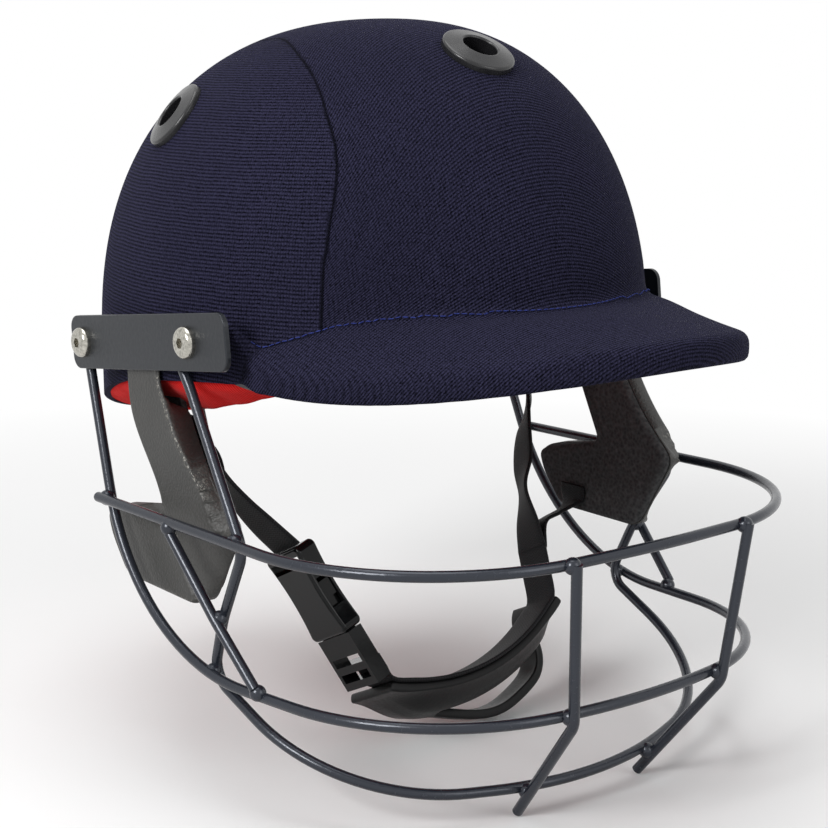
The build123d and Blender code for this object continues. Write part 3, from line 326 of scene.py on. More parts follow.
def slab(outline, top, edge, pitch, lines=()):
    """A closed flat-bottomed pad from its outline in the plane. top gives heights from (points, distance to
    the edge); rows of points lie at the distances in edge and close to the lines, and a triangle grid fills
    the middle. Gives the points, the faces and each point's distance to the edge."""
    kept_share, row_share, clear_share = 0.96, 0.866, 0.6
    line_pitch, line_offsets, line_clear, edge_clear = 1.1, (-2.1, -1.2, -0.5, 0.0, 0.5, 1.2, 2.1), 2.8, 0.5
    outline = np.asarray(outline, float)
    after = np.roll(outline, -1, axis=0)
    if np.sum(outline[:, 0] * after[:, 1] - outline[:, 1] * after[:, 0]) < 0:
        outline = outline[::-1]
    along = np.roll(outline, -1, axis=0) - np.roll(outline, 1, axis=0)
    inward = np.stack([-along[:, 1], along[:, 0]], 1)
    inward /= np.linalg.norm(inward, axis=1)[:, None]
    rows = [outline]
    for e in edge:
        row = outline + inward * e
        row = row[inside(row, outline)]
        rows.append(row[edge_distance(row, outline) > kept_share * e])
    low, high = outline.min(0), outline.max(0)
    grid = []
    for k, y in enumerate(np.arange(low[1], high[1], pitch * row_share)):
        for x in np.arange(low[0] + (k % 2) * pitch / 2, high[0], pitch):
            grid.append((x, y))
    grid = np.array(grid)
    grid = grid[inside(grid, outline)]
    grid = grid[edge_distance(grid, outline) > edge[-1] + clear_share * pitch]
    for line in lines:
        line = spaced(line, max(int(distance_along(line)[-1] / line_pitch), 3))
        along = np.gradient(line, axis=0)
        across = np.stack([-along[:, 1], along[:, 0]], 1) / np.linalg.norm(along, axis=1)[:, None]
        near = np.vstack([line + across * o for o in line_offsets])
        near = near[inside(near, outline)]
        near = near[edge_distance(near, outline) > edge[-1] + edge_clear]
        grid = np.vstack([grid[line_distance(grid, line)[0] > line_clear], near])
    points = np.vstack([*rows, grid])
    count = len(outline)
    made = delaunay_2d_cdt([Vector(p) for p in points], [], [list(range(count))], 1, 1e-5)
    flat = np.array([list(v) for v in made[0]], float)
    triangles = [tuple(f) for f in made[2]]
    source = {v: k for k, vs in enumerate(made[3]) for v in vs}
    loop = [source[k] for k in range(count)]
    loop = [v for k, v in enumerate(loop) if v != loop[k - 1]]
    away = edge_distance(flat, outline)
    upper = np.column_stack([flat, top(flat, away)])
    lower = np.column_stack([flat, 0 * away])
    n = len(flat)
    faces = triangles + [tuple(n + v for v in reversed(f)) for f in triangles]
    faces += [(a, n + a, n + b, b) for a, b in zip(loop, loop[1:] + loop[:1])]
    return np.vstack([upper, lower]), faces, np.concatenate([away, away])


def round_edge(away, reach):
    """How much a rounded edge of that reach lies below the face, at a distance from the outline."""
    d = np.clip(away / reach, 0, 1)
    return reach * (1 - np.sqrt(1 - (1 - d) ** 2))


def punch(thing, seat, axis, hole):
    """Opens a round hole in a thin mesh about a point and axis, and trims its edge to a circle."""
    depth, trim_share = 0.03, 1.6
    seat, axis = Vector([v * MM for v in seat]), Vector(axis)
    work = bmesh.new()
    work.from_mesh(thing.data)

    def off(co):
        gap = co - seat
        up = gap.dot(axis)
        return gap - axis * up, abs(up) < depth

    gone = []
    for face in work.faces:
        away, near = off(face.calc_center_median())
        if near and away.length < hole * MM:
            gone.append(face)
    bmesh.ops.delete(work, geom=gone, context="FACES")
    for vert in work.verts:
        away, near = off(vert.co)
        if vert.is_boundary and near and away.length < trim_share * hole * MM:
            vert.co = vert.co + away.normalized() * (hole * MM - away.length)
    work.to_mesh(thing.data)
    work.free()


def modifier(thing, kind, **values):
    m = thing.modifiers.new(kind.lower(), kind)
    for key, value in values.items():
        setattr(m, key, value)


# Materials

# The pitches of the cover's ribs and stitches, of the lining's ribs, and of the webbing's twill,
# cords and herringbone, with how far the herringbone leans
RIB_PITCH, STITCH_PITCH, RED_RIB_PITCH = 1.4, 1.15, 1.25
TWILL_PITCH, CORD_PITCH, HERRING_PITCH, HERRING_LEAN = 1.25, 0.8, 3.2, 2.4


class Build:
    """Adds shader nodes to a material or a world, and links them."""

    def __init__(self, owner):
        self.owner = owner
        owner.use_nodes = True
        self.tree = owner.node_tree
        self.tree.nodes.clear()
        self.at = None

    def add(self, kind, *values):
        """A shader node whose first inputs get the values."""
        node = self.tree.nodes.new(f"ShaderNode{kind}")
        for index, value in enumerate(values):
            self.feed(node, index, value)
        return node

    def feed(self, node, key, value):
        if isinstance(value, bpy.types.NodeSocket):
            self.tree.links.new(value, node.inputs[key])
        elif value is not None:
            node.inputs[key].default_value = value

    def surface(self, colour, rough, gloss, normal=None, **more):
        """A principled surface; more are other inputs, with _ for each space in their names."""
        node = self.add("BsdfPrincipled")
        more.update(Base_Color=colour, Roughness=rough, Specular_IOR_Level=gloss, Normal=normal)
        for key, value in more.items():
            self.feed(node, key.replace("_", " "), value)
        return node.outputs[0]

    def finish(self, *values, **more):
        """Ends a material in a principled surface."""
        self.add("OutputMaterial", self.surface(*values, **more))
        return self.owner

    def seen(self, rays):
        """1 where the camera sees, directly, mirrored or through something, and 0 for what lights."""
        straight = self.math("MAXIMUM", rays["Is Camera Ray"], rays["Is Glossy Ray"])
        return self.math("MAXIMUM", straight, rays["Is Transmission Ray"])

    def place(self):
        if self.at is None:
            self.at = self.add("TexCoord").outputs["Object"]
        return self.at

    def math(self, operation, *values):
        node = self.add("Math", *values)
        node.operation = operation
        return node.outputs[0]

    def plus(self, a, b):
        return self.math("ADD", a, b)

    def times(self, a, b):
        return self.math("MULTIPLY", a, b)

    def times_plus(self, a, b, c):
        return self.math("MULTIPLY_ADD", a, b, c)

    def clamp(self, value):
        return self.add("Clamp", value).outputs[0]

    def lay(self, name):
        """A named vector of the mesh, as three values."""
        node = self.add("Attribute")
        node.attribute_name = name
        return self.add("SeparateXYZ", node.outputs["Vector"]).outputs

    def noise(self, scale, detail=3.0, rough=0.55, stretch=None):
        place = self.place()
        if stretch:
            mapping = self.add("Mapping", place)
            mapping.inputs["Scale"].default_value = stretch
            place = mapping.outputs[0]
        node = self.add("TexNoise")
        for key, value in (("Vector", place), ("Scale", scale), ("Detail", detail), ("Roughness", rough)):
            self.feed(node, key, value)
        return node.outputs[0]

    def cells(self, scale):
        node = self.add("TexVoronoi", self.place())
        node.inputs["Scale"].default_value = scale
        return node.outputs["Distance"]

    def mix(self, share, *colours):
        """A colour between two colours."""
        node = self.add("Mix")
        node.data_type = "RGBA"
        self.feed(node, 0, share)
        for index, colour in zip((6, 7), colours):
            self.feed(node, index, colour if isinstance(colour, bpy.types.NodeSocket) else (*colour, 1.0))
        return node.outputs[2]

    def span(self, value, low, high, to_low=0.0, to_high=1.0):
        return self.add("MapRange", value, low, high, to_low, to_high).outputs[0]

    def tint(self, value, low, high, dark, light):
        """A colour that goes from dark to light with a value."""
        return self.mix(self.clamp(self.span(value, low, high)), dark, light)

    def bump(self, height, depth, below=None):
        node = self.add("Bump")
        for key, value in (("Strength", 1.0), ("Distance", depth), ("Height", height), ("Normal", below)):
            self.feed(node, key, value)
        return node.outputs[0]

    def wave(self, value, pitch):
        """A sine of a length in millimetres, from 0 to 1."""
        turn = self.times(value, 2 * math.pi / pitch)
        return self.times_plus(self.math("SINE", turn), 0.5, 0.5)


def material_nodes(name):
    return Build(bpy.data.materials.new(name))


def linear(*rgb):
    """A colour as it looks on a screen, 0 to 255, in linear numbers."""
    shares = [value / 255 for value in rgb]
    return tuple(c / 12.92 if c <= 0.04045 else ((c + 0.055) / 1.055) ** 2.4 for c in shares)


def knit_material():
    """Navy ribbed knit: each panel's ribs run their own way, and the panels meet at seams."""
    b = material_nodes("navy_knit")
    side, front, peak = b.lay("knit_ribs")
    seam, crease, along = b.lay("knit_seams")
    wander = b.times(b.math("SUBTRACT", b.noise(55, 2), 0.5), 1.1)
    in_front = b.math("GREATER_THAN", seam, 0.0)
    in_peak = b.math("GREATER_THAN", crease, 0.0)
    ribs = b.plus(side, b.times(in_front, b.math("SUBTRACT", front, side)))
    ribs = b.plus(ribs, b.times(in_peak, b.math("SUBTRACT", peak, ribs)))
    rib = b.wave(b.plus(ribs, wander), RIB_PITCH)
    loops = b.noise(1700, 1, 0.5)
    fleck = b.noise(1250, 1, 0.5)
    columns = b.wave(b.plus(along, b.times(wander, 0.6)), STITCH_PITCH)
    stitch = b.times_plus(b.times(columns, rib), 0.45, b.times(rib, 0.3))
    height = b.times_plus(loops, 0.75, stitch)
    tone = b.times_plus(fleck, 0.6, b.times(height, 0.7))
    cloth = b.tint(tone, 0.46, 1.02, linear(2, 2, 5), linear(52, 51, 75))
    broad = b.noise(16, 3, 0.5)
    cloth = b.mix(b.span(broad, 0.35, 0.7, 0.0, 0.25), cloth, linear(22, 22, 36))
    # a thin dark groove along the seam, but not on the peak
    groove = b.clamp(b.span(b.math("ABSOLUTE", seam), 0.1, 0.55))
    on_dome = b.math("LESS_THAN", crease, 0.0)
    groove = b.math("MAXIMUM", groove, b.math("SUBTRACT", 1.0, on_dome))
    cloth = b.mix(b.times_plus(groove, -0.8, 0.8), cloth, linear(6, 6, 12))
    normal = b.bump(groove, 0.0005, b.bump(height, 0.00038))
    sheen = (0.62, 0.64, 0.95, 1)
    return b.finish(cloth, 0.82, 0.03, normal, Sheen_Weight=0.02, Sheen_Roughness=0.4, Sheen_Tint=sheen)


def red_material():
    b = material_nodes("red_knit")
    along = b.lay("weave")[0]
    rib = b.wave(b.plus(along, b.times(b.noise(60, 2), 0.8)), RED_RIB_PITCH)
    height = b.times_plus(b.noise(700, 2), 0.5, b.times(rib, 0.7))
    cloth = b.tint(height, 0.2, 1.0, linear(226, 14, 16), linear(255, 46, 42))
    return b.finish(cloth, 0.85, 0.05, b.bump(height, 0.0002), Sheen_Weight=0.05)


def webbing_material():
    """Black polyester webbing with a fine herringbone."""
    b = material_nodes("black_webbing")
    along, across, _ = b.lay("weave")
    share = b.math("FRACT", b.times(across, 1 / HERRING_PITCH))
    lean = b.times(b.math("ABSOLUTE", b.math("SUBTRACT", share, 0.5)), HERRING_LEAN)
    twill = b.wave(b.plus(along, lean), TWILL_PITCH)
    cords = b.wave(across, CORD_PITCH)
    height = b.times_plus(twill, 0.5, b.times(cords, 0.3))
    height = b.times_plus(b.noise(900, 2), 0.3, height)
    cloth = b.tint(height, 0.3, 1.0, linear(8, 8, 9), linear(34, 34, 37))
    return b.finish(cloth, 0.62, 0.14, b.bump(height, 0.00018), Sheen_Weight=0.02)


def leather_material():
    """Moulded foam skin of the cheek pads: grey, fine pebble grain, with a painted highlight on its ridges.
    """
    b = material_nodes("pad_skin")
    # the skin lay's first value is a painted highlight mask on the ridges
    ridge = b.lay("skin")[0]
    grain = b.cells(900)
    height = b.times_plus(b.noise(1500, 2), 0.4, b.times(grain, 0.8))
    broad = b.noise(28, 4, 0.55)
    skin = b.mix(b.span(broad, 0.3, 0.7), linear(48, 48, 46), linear(64, 63, 61))
    skin = b.mix(b.times(grain, 0.35), skin, linear(32, 32, 31))
    # the painted highlight, broken into specks: a near-white colour and a lower roughness where the mask is
    # set
    speck = b.math("GREATER_THAN", b.noise(1100, 1), 0.56)
    painted_highlight = b.times(b.clamp(ridge), speck)
    skin = b.mix(b.times(painted_highlight, 0.5), skin, linear(186, 182, 172))
    rough = b.span(painted_highlight, 0, 1, 0.52, 0.3)
    return b.finish(skin, rough, 0.55, b.bump(height, 0.00022))


def cloth_material(name, dark, light, scale=700):
    b = material_nodes(name)
    height = b.times_plus(b.cells(scale * 0.9), 0.5, b.times(b.noise(scale, 2), 0.6))
    cloth = b.tint(height, 0.25, 0.85, dark, light)
    return b.finish(cloth, 0.88, 0.12, b.bump(height, 0.0002), Sheen_Weight=0.03)


def paint_material(name, colour, rough):
    """Powder-coated steel: faint orange peel, rubbed a little lighter here and there."""
    b = material_nodes(name)
    peel = b.noise(620, 2, 0.5)
    broad = b.span(b.noise(40, 3), 0.3, 0.7, 0.0, 0.3)
    base = b.mix(broad, colour, tuple(c * 1.35 for c in colour))
    rough = b.span(peel, 0.3, 0.7, rough - 0.04, rough + 0.06)
    return b.finish(base, rough, 0.6, b.bump(peel, 0.00005), Metallic=0.35)


def plastic_material(name, colour, rough, peel_depth=0.00004, gloss=0.5, grain=450):
    b = material_nodes(name)
    peel = b.noise(grain, 3)
    broad = b.span(b.noise(60, 3), 0.3, 0.7, 0.0, 0.4)
    base = b.mix(broad, colour, tuple(c * 1.5 + 0.002 for c in colour))
    rough = b.span(peel, 0.3, 0.7, rough * 0.85, rough * 1.15)
    return b.finish(base, rough, gloss, b.bump(peel, peel_depth))


def steel_material():
    b = material_nodes("polished_steel")
    turn = b.noise(900, 2, 0.5, stretch=(0.15, 1, 1))
    base = b.mix(b.span(turn, 0.3, 0.7), linear(150, 148, 140), linear(196, 193, 184))
    rough = b.span(turn, 0.3, 0.7, 0.08, 0.18)
    return b.finish(base, rough, 0.5, b.bump(turn, 0.00001), Metallic=1.0)


def foam_material(name, dark, light):
    b = material_nodes(name)
    beads = b.cells(330)
    height = b.times_plus(b.noise(900, 2), 0.3, beads)
    return b.finish(b.tint(beads, 0.0, 0.8, dark, light), 0.85, 0.5, b.bump(height, 0.0003))


navy_knit = knit_material()
red_knit = red_material()
webbing = webbing_material()
pad_skin = leather_material()
pad_cloth = cloth_material("black_pad_cloth", linear(46, 46, 47), linear(88, 88, 89))
wire_paint = paint_material("slate_wire_paint", linear(40, 44, 53), 0.22)
plate_paint = paint_material("slate_plate_paint", linear(24, 28, 34), 0.36)
eyelet_plastic = plastic_material("black_eyelet", linear(24, 24, 26), 0.28)
buckle_plastic = plastic_material("black_buckle", linear(11, 12, 13), 0.14, 0.00003, gloss=0.22)
cup_plastic = plastic_material("black_cup", linear(9, 9, 10), 0.4, 0.00006, gloss=0.2, grain=700)
shell_plastic = plastic_material("shell_plastic", linear(40, 40, 44), 0.4)
board = plastic_material("peak_board", linear(60, 60, 62), 0.6)
steel = steel_material()
liner_foam = foam_material("liner_foam", linear(42, 42, 44), linear(70, 70, 72))
thread_blue = cloth_material("blue_thread", linear(24, 30, 84), linear(58, 70, 140), 1500)

painted = {
    "shell": shell_plastic, "impact_liner": liner_foam, "peak_core": board, "eyelet": eyelet_plastic,
    "side_plate": plate_paint, "plate": steel, "strap_rivets": steel, "grille": wire_paint,
    "buckle": buckle_plastic,
}
for name, thing in nodes.items():
    for start, material in painted.items():
        if name.startswith(start):
            thing.data.materials.clear()
            thing.data.materials.append(material)


# The knitted cover: one sheet from the crown down the dome, out over the peak, round its rim,
# back under it to the shell's edge, and turned in under the hem

PEAK_HALF, PEAK_FRONT, PEAK_ROOT = 99.4, -185.3, -56.2
PEAK_EDGE, PEAK_DROP, PEAK_THICK = 14.3, 23.9, 11.0
PEAK_SLOPE = math.tan(math.radians(5.1))
PEAK_SWING = (PEAK_HALF**2 + PEAK_DROP**2) / (2 * PEAK_DROP)
# The cloth turned in under the hem: its width and its height inside
HEM_IN, HEM_UP = 3.0, 5.0
# Where there is no peak, the crease's line goes on this far above the hem, and its values are lowered by
# so much that no cloth there counts as peak; the points lie closer from this far above it; the peak
# begins between these reaches past the dome
CREASE_LIFT, CREASE_AWAY, CREASE_LEAD, PEAK_BEGINS = 22.0, 34.0, 12, (0.3, 7)
# The stitching sinks in, and the cloth swells beyond it at a share of the way to the rim
STITCH_SINK, SWELL, SWELL_SHARE = 0.5, 1.6, 0.3
# The ribs' lines: the front panel's length for each radian, and how the ribs bow across
FRONT_RIB_RADIUS, FRONT_RIB_BOW, PEAK_RIB_BOW = 122.0, 0.0065, 0.0016
SIDE_RIB_RADIUS, SKIRT_LOW = 112.0, -80.0


def peak_top(x, y):
    drop = PEAK_SWING - math.sqrt(max(PEAK_SWING**2 - min(abs(x), PEAK_HALF) ** 2, 0))
    return PEAK_EDGE + PEAK_THICK - drop + (y - PEAK_FRONT) * PEAK_SLOPE


def peak_radius(turn):
    """How far the peak's rim is from the dome's axis."""
    s, c = math.sin(turn), math.cos(turn)
    dome = plan_radius(turn)
    if c <= 0:
        return dome
    back = CROWN_Y - PEAK_ROOT
    reach = PEAK_ROOT - PEAK_FRONT
    a = (s / PEAK_HALF) ** 2 + (c / reach) ** 2
    half_b = -back * c / reach**2
    k = (back / reach) ** 2 - 1
    r = (-half_b + math.sqrt(half_b**2 - a * k)) / a
    if r * c < back:
        r = PEAK_HALF / max(abs(s), 0.2)
    return dome + max(r - dome, 0.0) * float(step(dome * c, 8, 28))


# Half the front panel's width, by the angle over the dome from the peak (0) to the nape (180)
seam_x = smooth_line(
    [-25, 0, 20.5, 29.3, 35.7, 39.4, 43.8, 50.2, 57, 63.6, 72, 82.6, 98, 125, 150, 180, 205],
    [84, 82.5, 80.6, 79.4, 77.9, 76.3, 74.2, 69.9, 66.1, 63.6, 59.2, 53.2, 41, 38, 48, 62, 66],
)
# The height of the stitched crease between dome and peak, by distance from the middle
crease_height = smooth_line(
    [0, 30, 50, 65, 72.4, 77, 80.6, 84.7, 88.1, 90.4, 94, 104],
    [29.9, 29.7, 29.4, 28.6, 27.4, 26.4, 25, 22.8, 20.9, 19.4, 17, 13],
)


def side_length(z):
    """The length along the dome's side from a height, on a middling meridian."""
    zs = np.concatenate([[SKIRT_LOW], BASE + HEIGHT * np.sin(np.linspace(0, math.pi / 2, 200))])
    run = distance_along(np.column_stack([SIDE_RIB_RADIUS * shrink(zs), zs]))
    return np.interp(z, zs, run)


def cover_profile(turn, s, c):
    """One row of the cover as (distance from the axis, height), its crease and how much peak it has."""
    above, below, under = 64, 84, 5
    rd, rp = plan_radius(turn), peak_radius(turn)
    grown = float(step(rp - rd, *PEAK_BEGINS))
    y = CROWN_Y - rd * c
    low = float(hem_z(y)) - COVER
    crease_z = (1 - grown) * (low + CREASE_LIFT) + grown * float(crease_height(abs(rd * s)))
    rim_top = (1 - grown) * crease_z + grown * peak_top(rp * s, CROWN_Y - rp * c)
    under_z = (1 - grown) * low + grown * (peak_top(rd * s, y) - PEAK_THICK)
    rim_low = (1 - grown) * low + grown * (rim_top - PEAK_THICK)
    rc = rd * float(shrink(crease_z))
    start_z = crease_z + CREASE_LEAD
    start = (rd * float(shrink(start_z)), start_z)
    # from the crown down to just above the crease
    dome = meridian(rd)
    upper = spaced(np.vstack([dome[dome[:, 1] > start[1]], start]), above)
    # from there round the peak's rim to the hem
    corner = (rc, crease_z - STITCH_SINK * grown)
    ridge = (
        rc + SWELL_SHARE * (rp - rc),
        crease_z + SWELL_SHARE * (rim_top - crease_z) + SWELL * grown,
    )
    rim = [(rp, rim_top), (rp, rim_low), (rd, under_z), (rd, low), (rd - HEM_IN, low)]
    lower = spaced(rounded([start, corner, ridge, *rim], [5.0, 12.0, 4.2, 4.6, 4.0, 1.2]), below)
    inner = spaced([(rd - HEM_IN, low), (rd - HEM_IN, low + HEM_UP)], under)
    profile = np.vstack([upper, lower[1:], inner[1:]])
    gap = np.linalg.norm(profile - np.array(corner), axis=1)
    return profile, int(np.argmin(gap[: above + below // 2])), grown


def make_cover():
    rows, bends, crease_line = [], [], []
    for turn, s, c in directions(400):
        profile, nearest, grown = cover_profile(turn, s, c)
        rows.append([(r * s, CROWN_Y - r * c, z) for r, z in profile])
        run = distance_along(profile)
        bends.append(run - run[nearest] - CREASE_AWAY * (1 - grown))
        if grown > 0.6:
            crease_line.append(np.array(rows[-1][nearest]) + np.array([s, -c, 1.2]) * 0.35)
    points, crease = np.array(rows), np.array(bends)
    x, y, z = points[..., 0], points[..., 1], points[..., 2]
    over = np.arctan2(z - BASE, -(y - CROWN_Y))
    over = np.where(over < -math.pi / 2, over + 2 * math.pi, over)
    front = FRONT_RIB_RADIUS * over + FRONT_RIB_BOW * x**2
    peak = y + (z - np.vectorize(peak_top)(x, y)) + PEAK_RIB_BOW * x**2
    seam = seam_x(np.degrees(over)) - np.abs(x)
    around = np.abs(np.arctan2(x, -(y - CROWN_Y))) * HALF
    lays = {
        "knit_ribs": np.stack([side_length(z), front, peak], -1),
        "knit_seams": np.stack([seam, crease, np.where((seam > 0) | (crease > 0), x, around)], -1),
    }
    thing = dome_sheet("knitted_cover", rows, navy_knit, lays)
    for seat, axis in eyelet_seats:
        punch(thing, seat, axis, COVER_HOLE)
    return thing, crease_line


cover, crease_line = make_cover()
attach(cover, "root")
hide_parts("fabric_cover")


def make_stitches(name, line, pitch, length, width, material):
    """Small thread stitches laid end to end along a line."""
    sides, rings = 6, 5
    line = np.asarray(line, float)
    run = distance_along(line)

    def at(s):
        return np.array([np.interp(s, run, line[:, i]) for i in range(3)])

    points, faces = [], []
    for k in range(int(run[-1] / pitch)):
        middle = (k + 0.5) * pitch
        a, b = at(middle - length / 2), at(middle + length / 2)
        d = unit(b - a)
        u = unit(np.cross(d, (0.3, 0.2, 1)))
        v = np.cross(d, u)
        base = len(points)
        for t in np.linspace(0, 1, rings):
            fat = width / 2 * (0.35 + 0.65 * math.sin(math.pi * (0.12 + 0.76 * t)))
            for j in range(sides):
                turn = 2 * math.pi * j / sides
                points.append(a + (b - a) * t + fat * (math.cos(turn) * u + math.sin(turn) * v))
        faces += [tuple(base + n for n in face) for face in grid_faces(rings, sides, closed_columns=True)]
        faces.append(tuple(base + j for j in reversed(range(sides))))
        faces.append(tuple(base + (rings - 1) * sides + j for j in range(sides)))
    return make_object(name, points, faces, material)


crease_stitches = make_stitches("crease_stitching", crease_line, 2.7, 2.1, 0.55, thread_blue)
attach(crease_stitches, "root")


# The red lining: one knitted layer inside the liner, whose edge hangs below the hem at both sides


# The shell's edge inside the cover's face; the roll's widest place in from it, its share of the way down,
# and how far above its lowest line it starts; the lining's thickness
SHELL_EDGE, ROLL_IN, ROLL_SHARE, ROLL_START, LINING_CLOTH = 2.4, 3.5, 0.35, 4, 1.0
SWAY, SMALL_SWAY = 0.5, 0.4


def make_lining():
    levels, hang = 50, 22
    inset = (LINING_IN + PAD_IN) / 2
    rows, lays = [], []
    for turn, s, c in directions(300):
        rd, ro = plan_radius(turn, inset), plan_radius(turn, SHELL_EDGE)
        hem = float(hem_z(CROWN_Y - ro * c)) - COVER + 0.2
        low = min(float(lining_z(CROWN_Y - rd * c)), hem - 1.0)
        start_z = low + ROLL_START
        dome = meridian(rd, inset)
        start = (rd * float(shrink(start_z, inset)), start_z)
        down = spaced(np.vstack([dome[dome[:, 1] > max(start_z, BASE)], start]), levels)
        # the hanging part: a soft roll that comes up under the shell's edge
        sway = SWAY * math.sin(turn * 17) + SMALL_SWAY * math.sin(turn * 31 + 1)
        roll = (ro - ROLL_IN, hem - ROLL_SHARE * (hem - low) + sway * 0.4)
        hung = rounded([start, (rd + 0.4, low + sway * 0.6), roll, (ro, hem)], [3.2, 5.0])
        path = np.vstack([down, spaced(hung, hang)[1:]])
        rows.append([(r * s, CROWN_Y - r * c, z) for r, z in path])
        lays.append([(turn * 100, z, 0) for _, z in path])
    thing = dome_sheet("red_lining_cloth", rows, red_knit, {"weave": lays})
    for seat, axis in eyelet_seats:
        punch(thing, seat - LINING_DEPTH * axis, axis, LINING_HOLE)
    modifier(thing, "SOLIDIFY", thickness=LINING_CLOTH * MM, offset=0.0)
    return thing


lining = make_lining()
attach(lining, "root")
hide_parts("red_lining")


# Comfort pads glued inside the lining


# A pad's room to the head and to the lining, its least thickness and its rounded edge; how high it is
# crowned, how far in from its edge, and the depth and width of a sewn channel
HEAD_GAP, GLUE_GAP, PAD_LEAST, PAD_EDGE = 0.5, 0.35, 1.0, 4.5
CROWN_RISE, CROWN_REACH, CHANNEL_DEPTH, CHANNEL_WIDTH = 0.8, 22, 3.2, 2.6


def comfort_pad(name, node, outline, place, channels):
    """A crowned pad on the lining; place maps (a, b, inset) to a point. channels are sewn lines across it."""
    thick = HEAD_IN - PAD_IN - HEAD_GAP

    def top(p, away):
        h = thick - round_edge(away, PAD_EDGE) * 0.9 - CROWN_RISE * (1 - step(away, 0, CROWN_REACH))
        for line in channels:
            h = h - CHANNEL_DEPTH * np.exp(-((line_distance(p, line)[0] / CHANNEL_WIDTH) ** 2))
        return np.maximum(h, PAD_LEAST)

    points, faces, _ = slab(outline, top, [0.4, 1.2, 2.4, 4.2, 6.5], 4.0)
    placed = [place(a, b, PAD_IN + GLUE_GAP + h) for a, b, h in points]
    thing = make_object(name, placed, faces, pad_cloth)
    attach(thing, "root")
    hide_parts(node)


def on_side(radius, middle):
    return lambda a, b, inset: dome_point(middle + a / radius, b, inset)


def on_crown(a, b, inset):
    return a, b, dome_z(a, b, inset)


def pair(x, low, high):
    """Two sewn lines up a pad, one each side of its middle."""
    return [[(-x, low), (-x, high)], [(x, low), (x, high)]]


for side, sign in (("left", 1), ("right", -1)):
    box = rounded_box((-25, 6), (25, 56), 9)
    place = on_side(90.0, sign * math.radians(126))
    comfort_pad(f"temple_pad_{side}", f"side_pad_{side}", box, place, [[(0, 10), (0, 52)]])
box = rounded_box((-52, 16), (52, 44), 9)
comfort_pad("forehead_pad", "brow_pad", box, on_side(88.0, 0.0), pair(18, 18, 42))
box = rounded_box((-42, -20), (42, 30), 9)
comfort_pad("nape_pad", "rear_pad", box, on_side(112.0, math.pi), pair(14, -16, 26))
box = rounded_box((-40, -33), (40, 31), 12)
comfort_pad("crown_comfort_pad", "crown_pad", box, on_crown, pair(14, -28, 26))


# Cheek pads: a moulded foam body with a tab that runs up behind the plate, and a cloth lining

CHEEK_OUT, CHEEK_IN, LINING_THICK = 103.2, 94.5, 3.6
CHEEK_THICK = CHEEK_OUT - CHEEK_IN
TAB_IN, TAB_OUT = 104.5, 105.4
# How far the left pad hangs ahead of the right one's place, and above it
SWING_AHEAD, SWING_UP = 38, 6
# The blocks' rounded edges: outside, at the strip's foot and at the lower block's top; the least thickness
SHOULDER, FOOT_ROUND, LOWER_ROUND, LEAST = 1.8, 2.4, 2.2, 0.6
# The right pad's inner side is drawn back, its strip leans out, and its tab starts behind the plate:
# by how much, and between which distances from the front edge or heights
DRAWN_BACK, DRAWN_REACH, DRAWN_RISE = 5.5, (0, 9), (-50, -38)
LEAN_OUT, LEAN_RISE, TAB_RISE = 3.4, (-46, -16), (-13, -6)
# The cheek cloth's rounded edge, and how high its folds stand
CLOTH_EDGE, FOLD = 2.6, 0.45

# The two raised blocks of the right pad's outer face, the lines where they end, and its front edge
STRIP = [
    (-20, 9), (9, 9), (8, -1), (6.5, -12.5), (-10.5, -50), (-13, -56.5),
    (-51, -53.5), (-48, -49.5), (-36.6, -31.4), (-24, -8), (-18, 0),
]
LOWER = [
    (-12.5, -57.5), (20, -52), (32, -60), (28, -69), (15, -87), (-36, -88), (-31.4, -78.2), (-14.6, -58.4),
]
STRIP_END = [(-11.5, -50), (-13, -56.5), (-49.5, -53)]
LOWER_END = [(-13.6, -57), (-31.4, -78.2), (-36, -84)]
FRONT_EDGE = [(-17.5, 0), (-22, -8), (-36.1, -31.5), (-48, -45), (-55, -51.5)]
TAB_TOP = [(-17.5, 0), (-17.5, 7), (6.5, 7), (6.8, -3), (5.5, -12.5)]


def cheek_line(side, inset=0.0, tab=False):
    """The outline from the side, its top just under the hem or, with the tab, up behind the plate."""
    right = side == "right"
    ahead, up = (0, 0) if right else (SWING_AHEAD, SWING_UP)
    # the right pad's outer outline is a little fuller, and its lining's front edge is drawn back
    back, fore = (6.0, 2.6) if right and not inset else (0, 0)
    draw = inset + 7 if right and inset else inset
    if tab:
        top, reach = TAB_TOP, [6, 3, 3, 3, 8]
    else:
        ys = np.linspace(-16.5 - ahead + inset + (5 if right else 0), 6.5 - ahead - inset, 4)
        top = [(y, float(hem_z(y)) - COVER - 0.8) for y in ys] + [(5.5 - ahead - inset, -12.5 + up / 2)]
        reach = [3, 10, 10, 3, 8]
    rest = [
        (-11.5 - inset, -50), (20 + back, -56.5 - inset), (26 + back - inset, -60.5),
        (23 + back - inset, -69), (11.5 + back - inset, -83.5 + inset), (-35, -84 + inset),
        (-54 - fore / 2 + inset, -51.5), (-33.5 - fore + draw, -31.5),
    ]
    corners = [*top, *((y - ahead, z + up) for y, z in rest)]
    return dense(rounded_loop(corners, reach + [4, 4, 4, 6, 5, 6, 5, 16]), 1.5)


def make_foam(name, placed, faces, skin):
    """A moulded foam piece of a cheek pad."""
    # skin holds, for each point, a painted highlight mask and its distance to the edge
    thing = make_object(name, placed, faces, pad_skin, lays={"skin": skin})
    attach(thing, "root")
    return thing


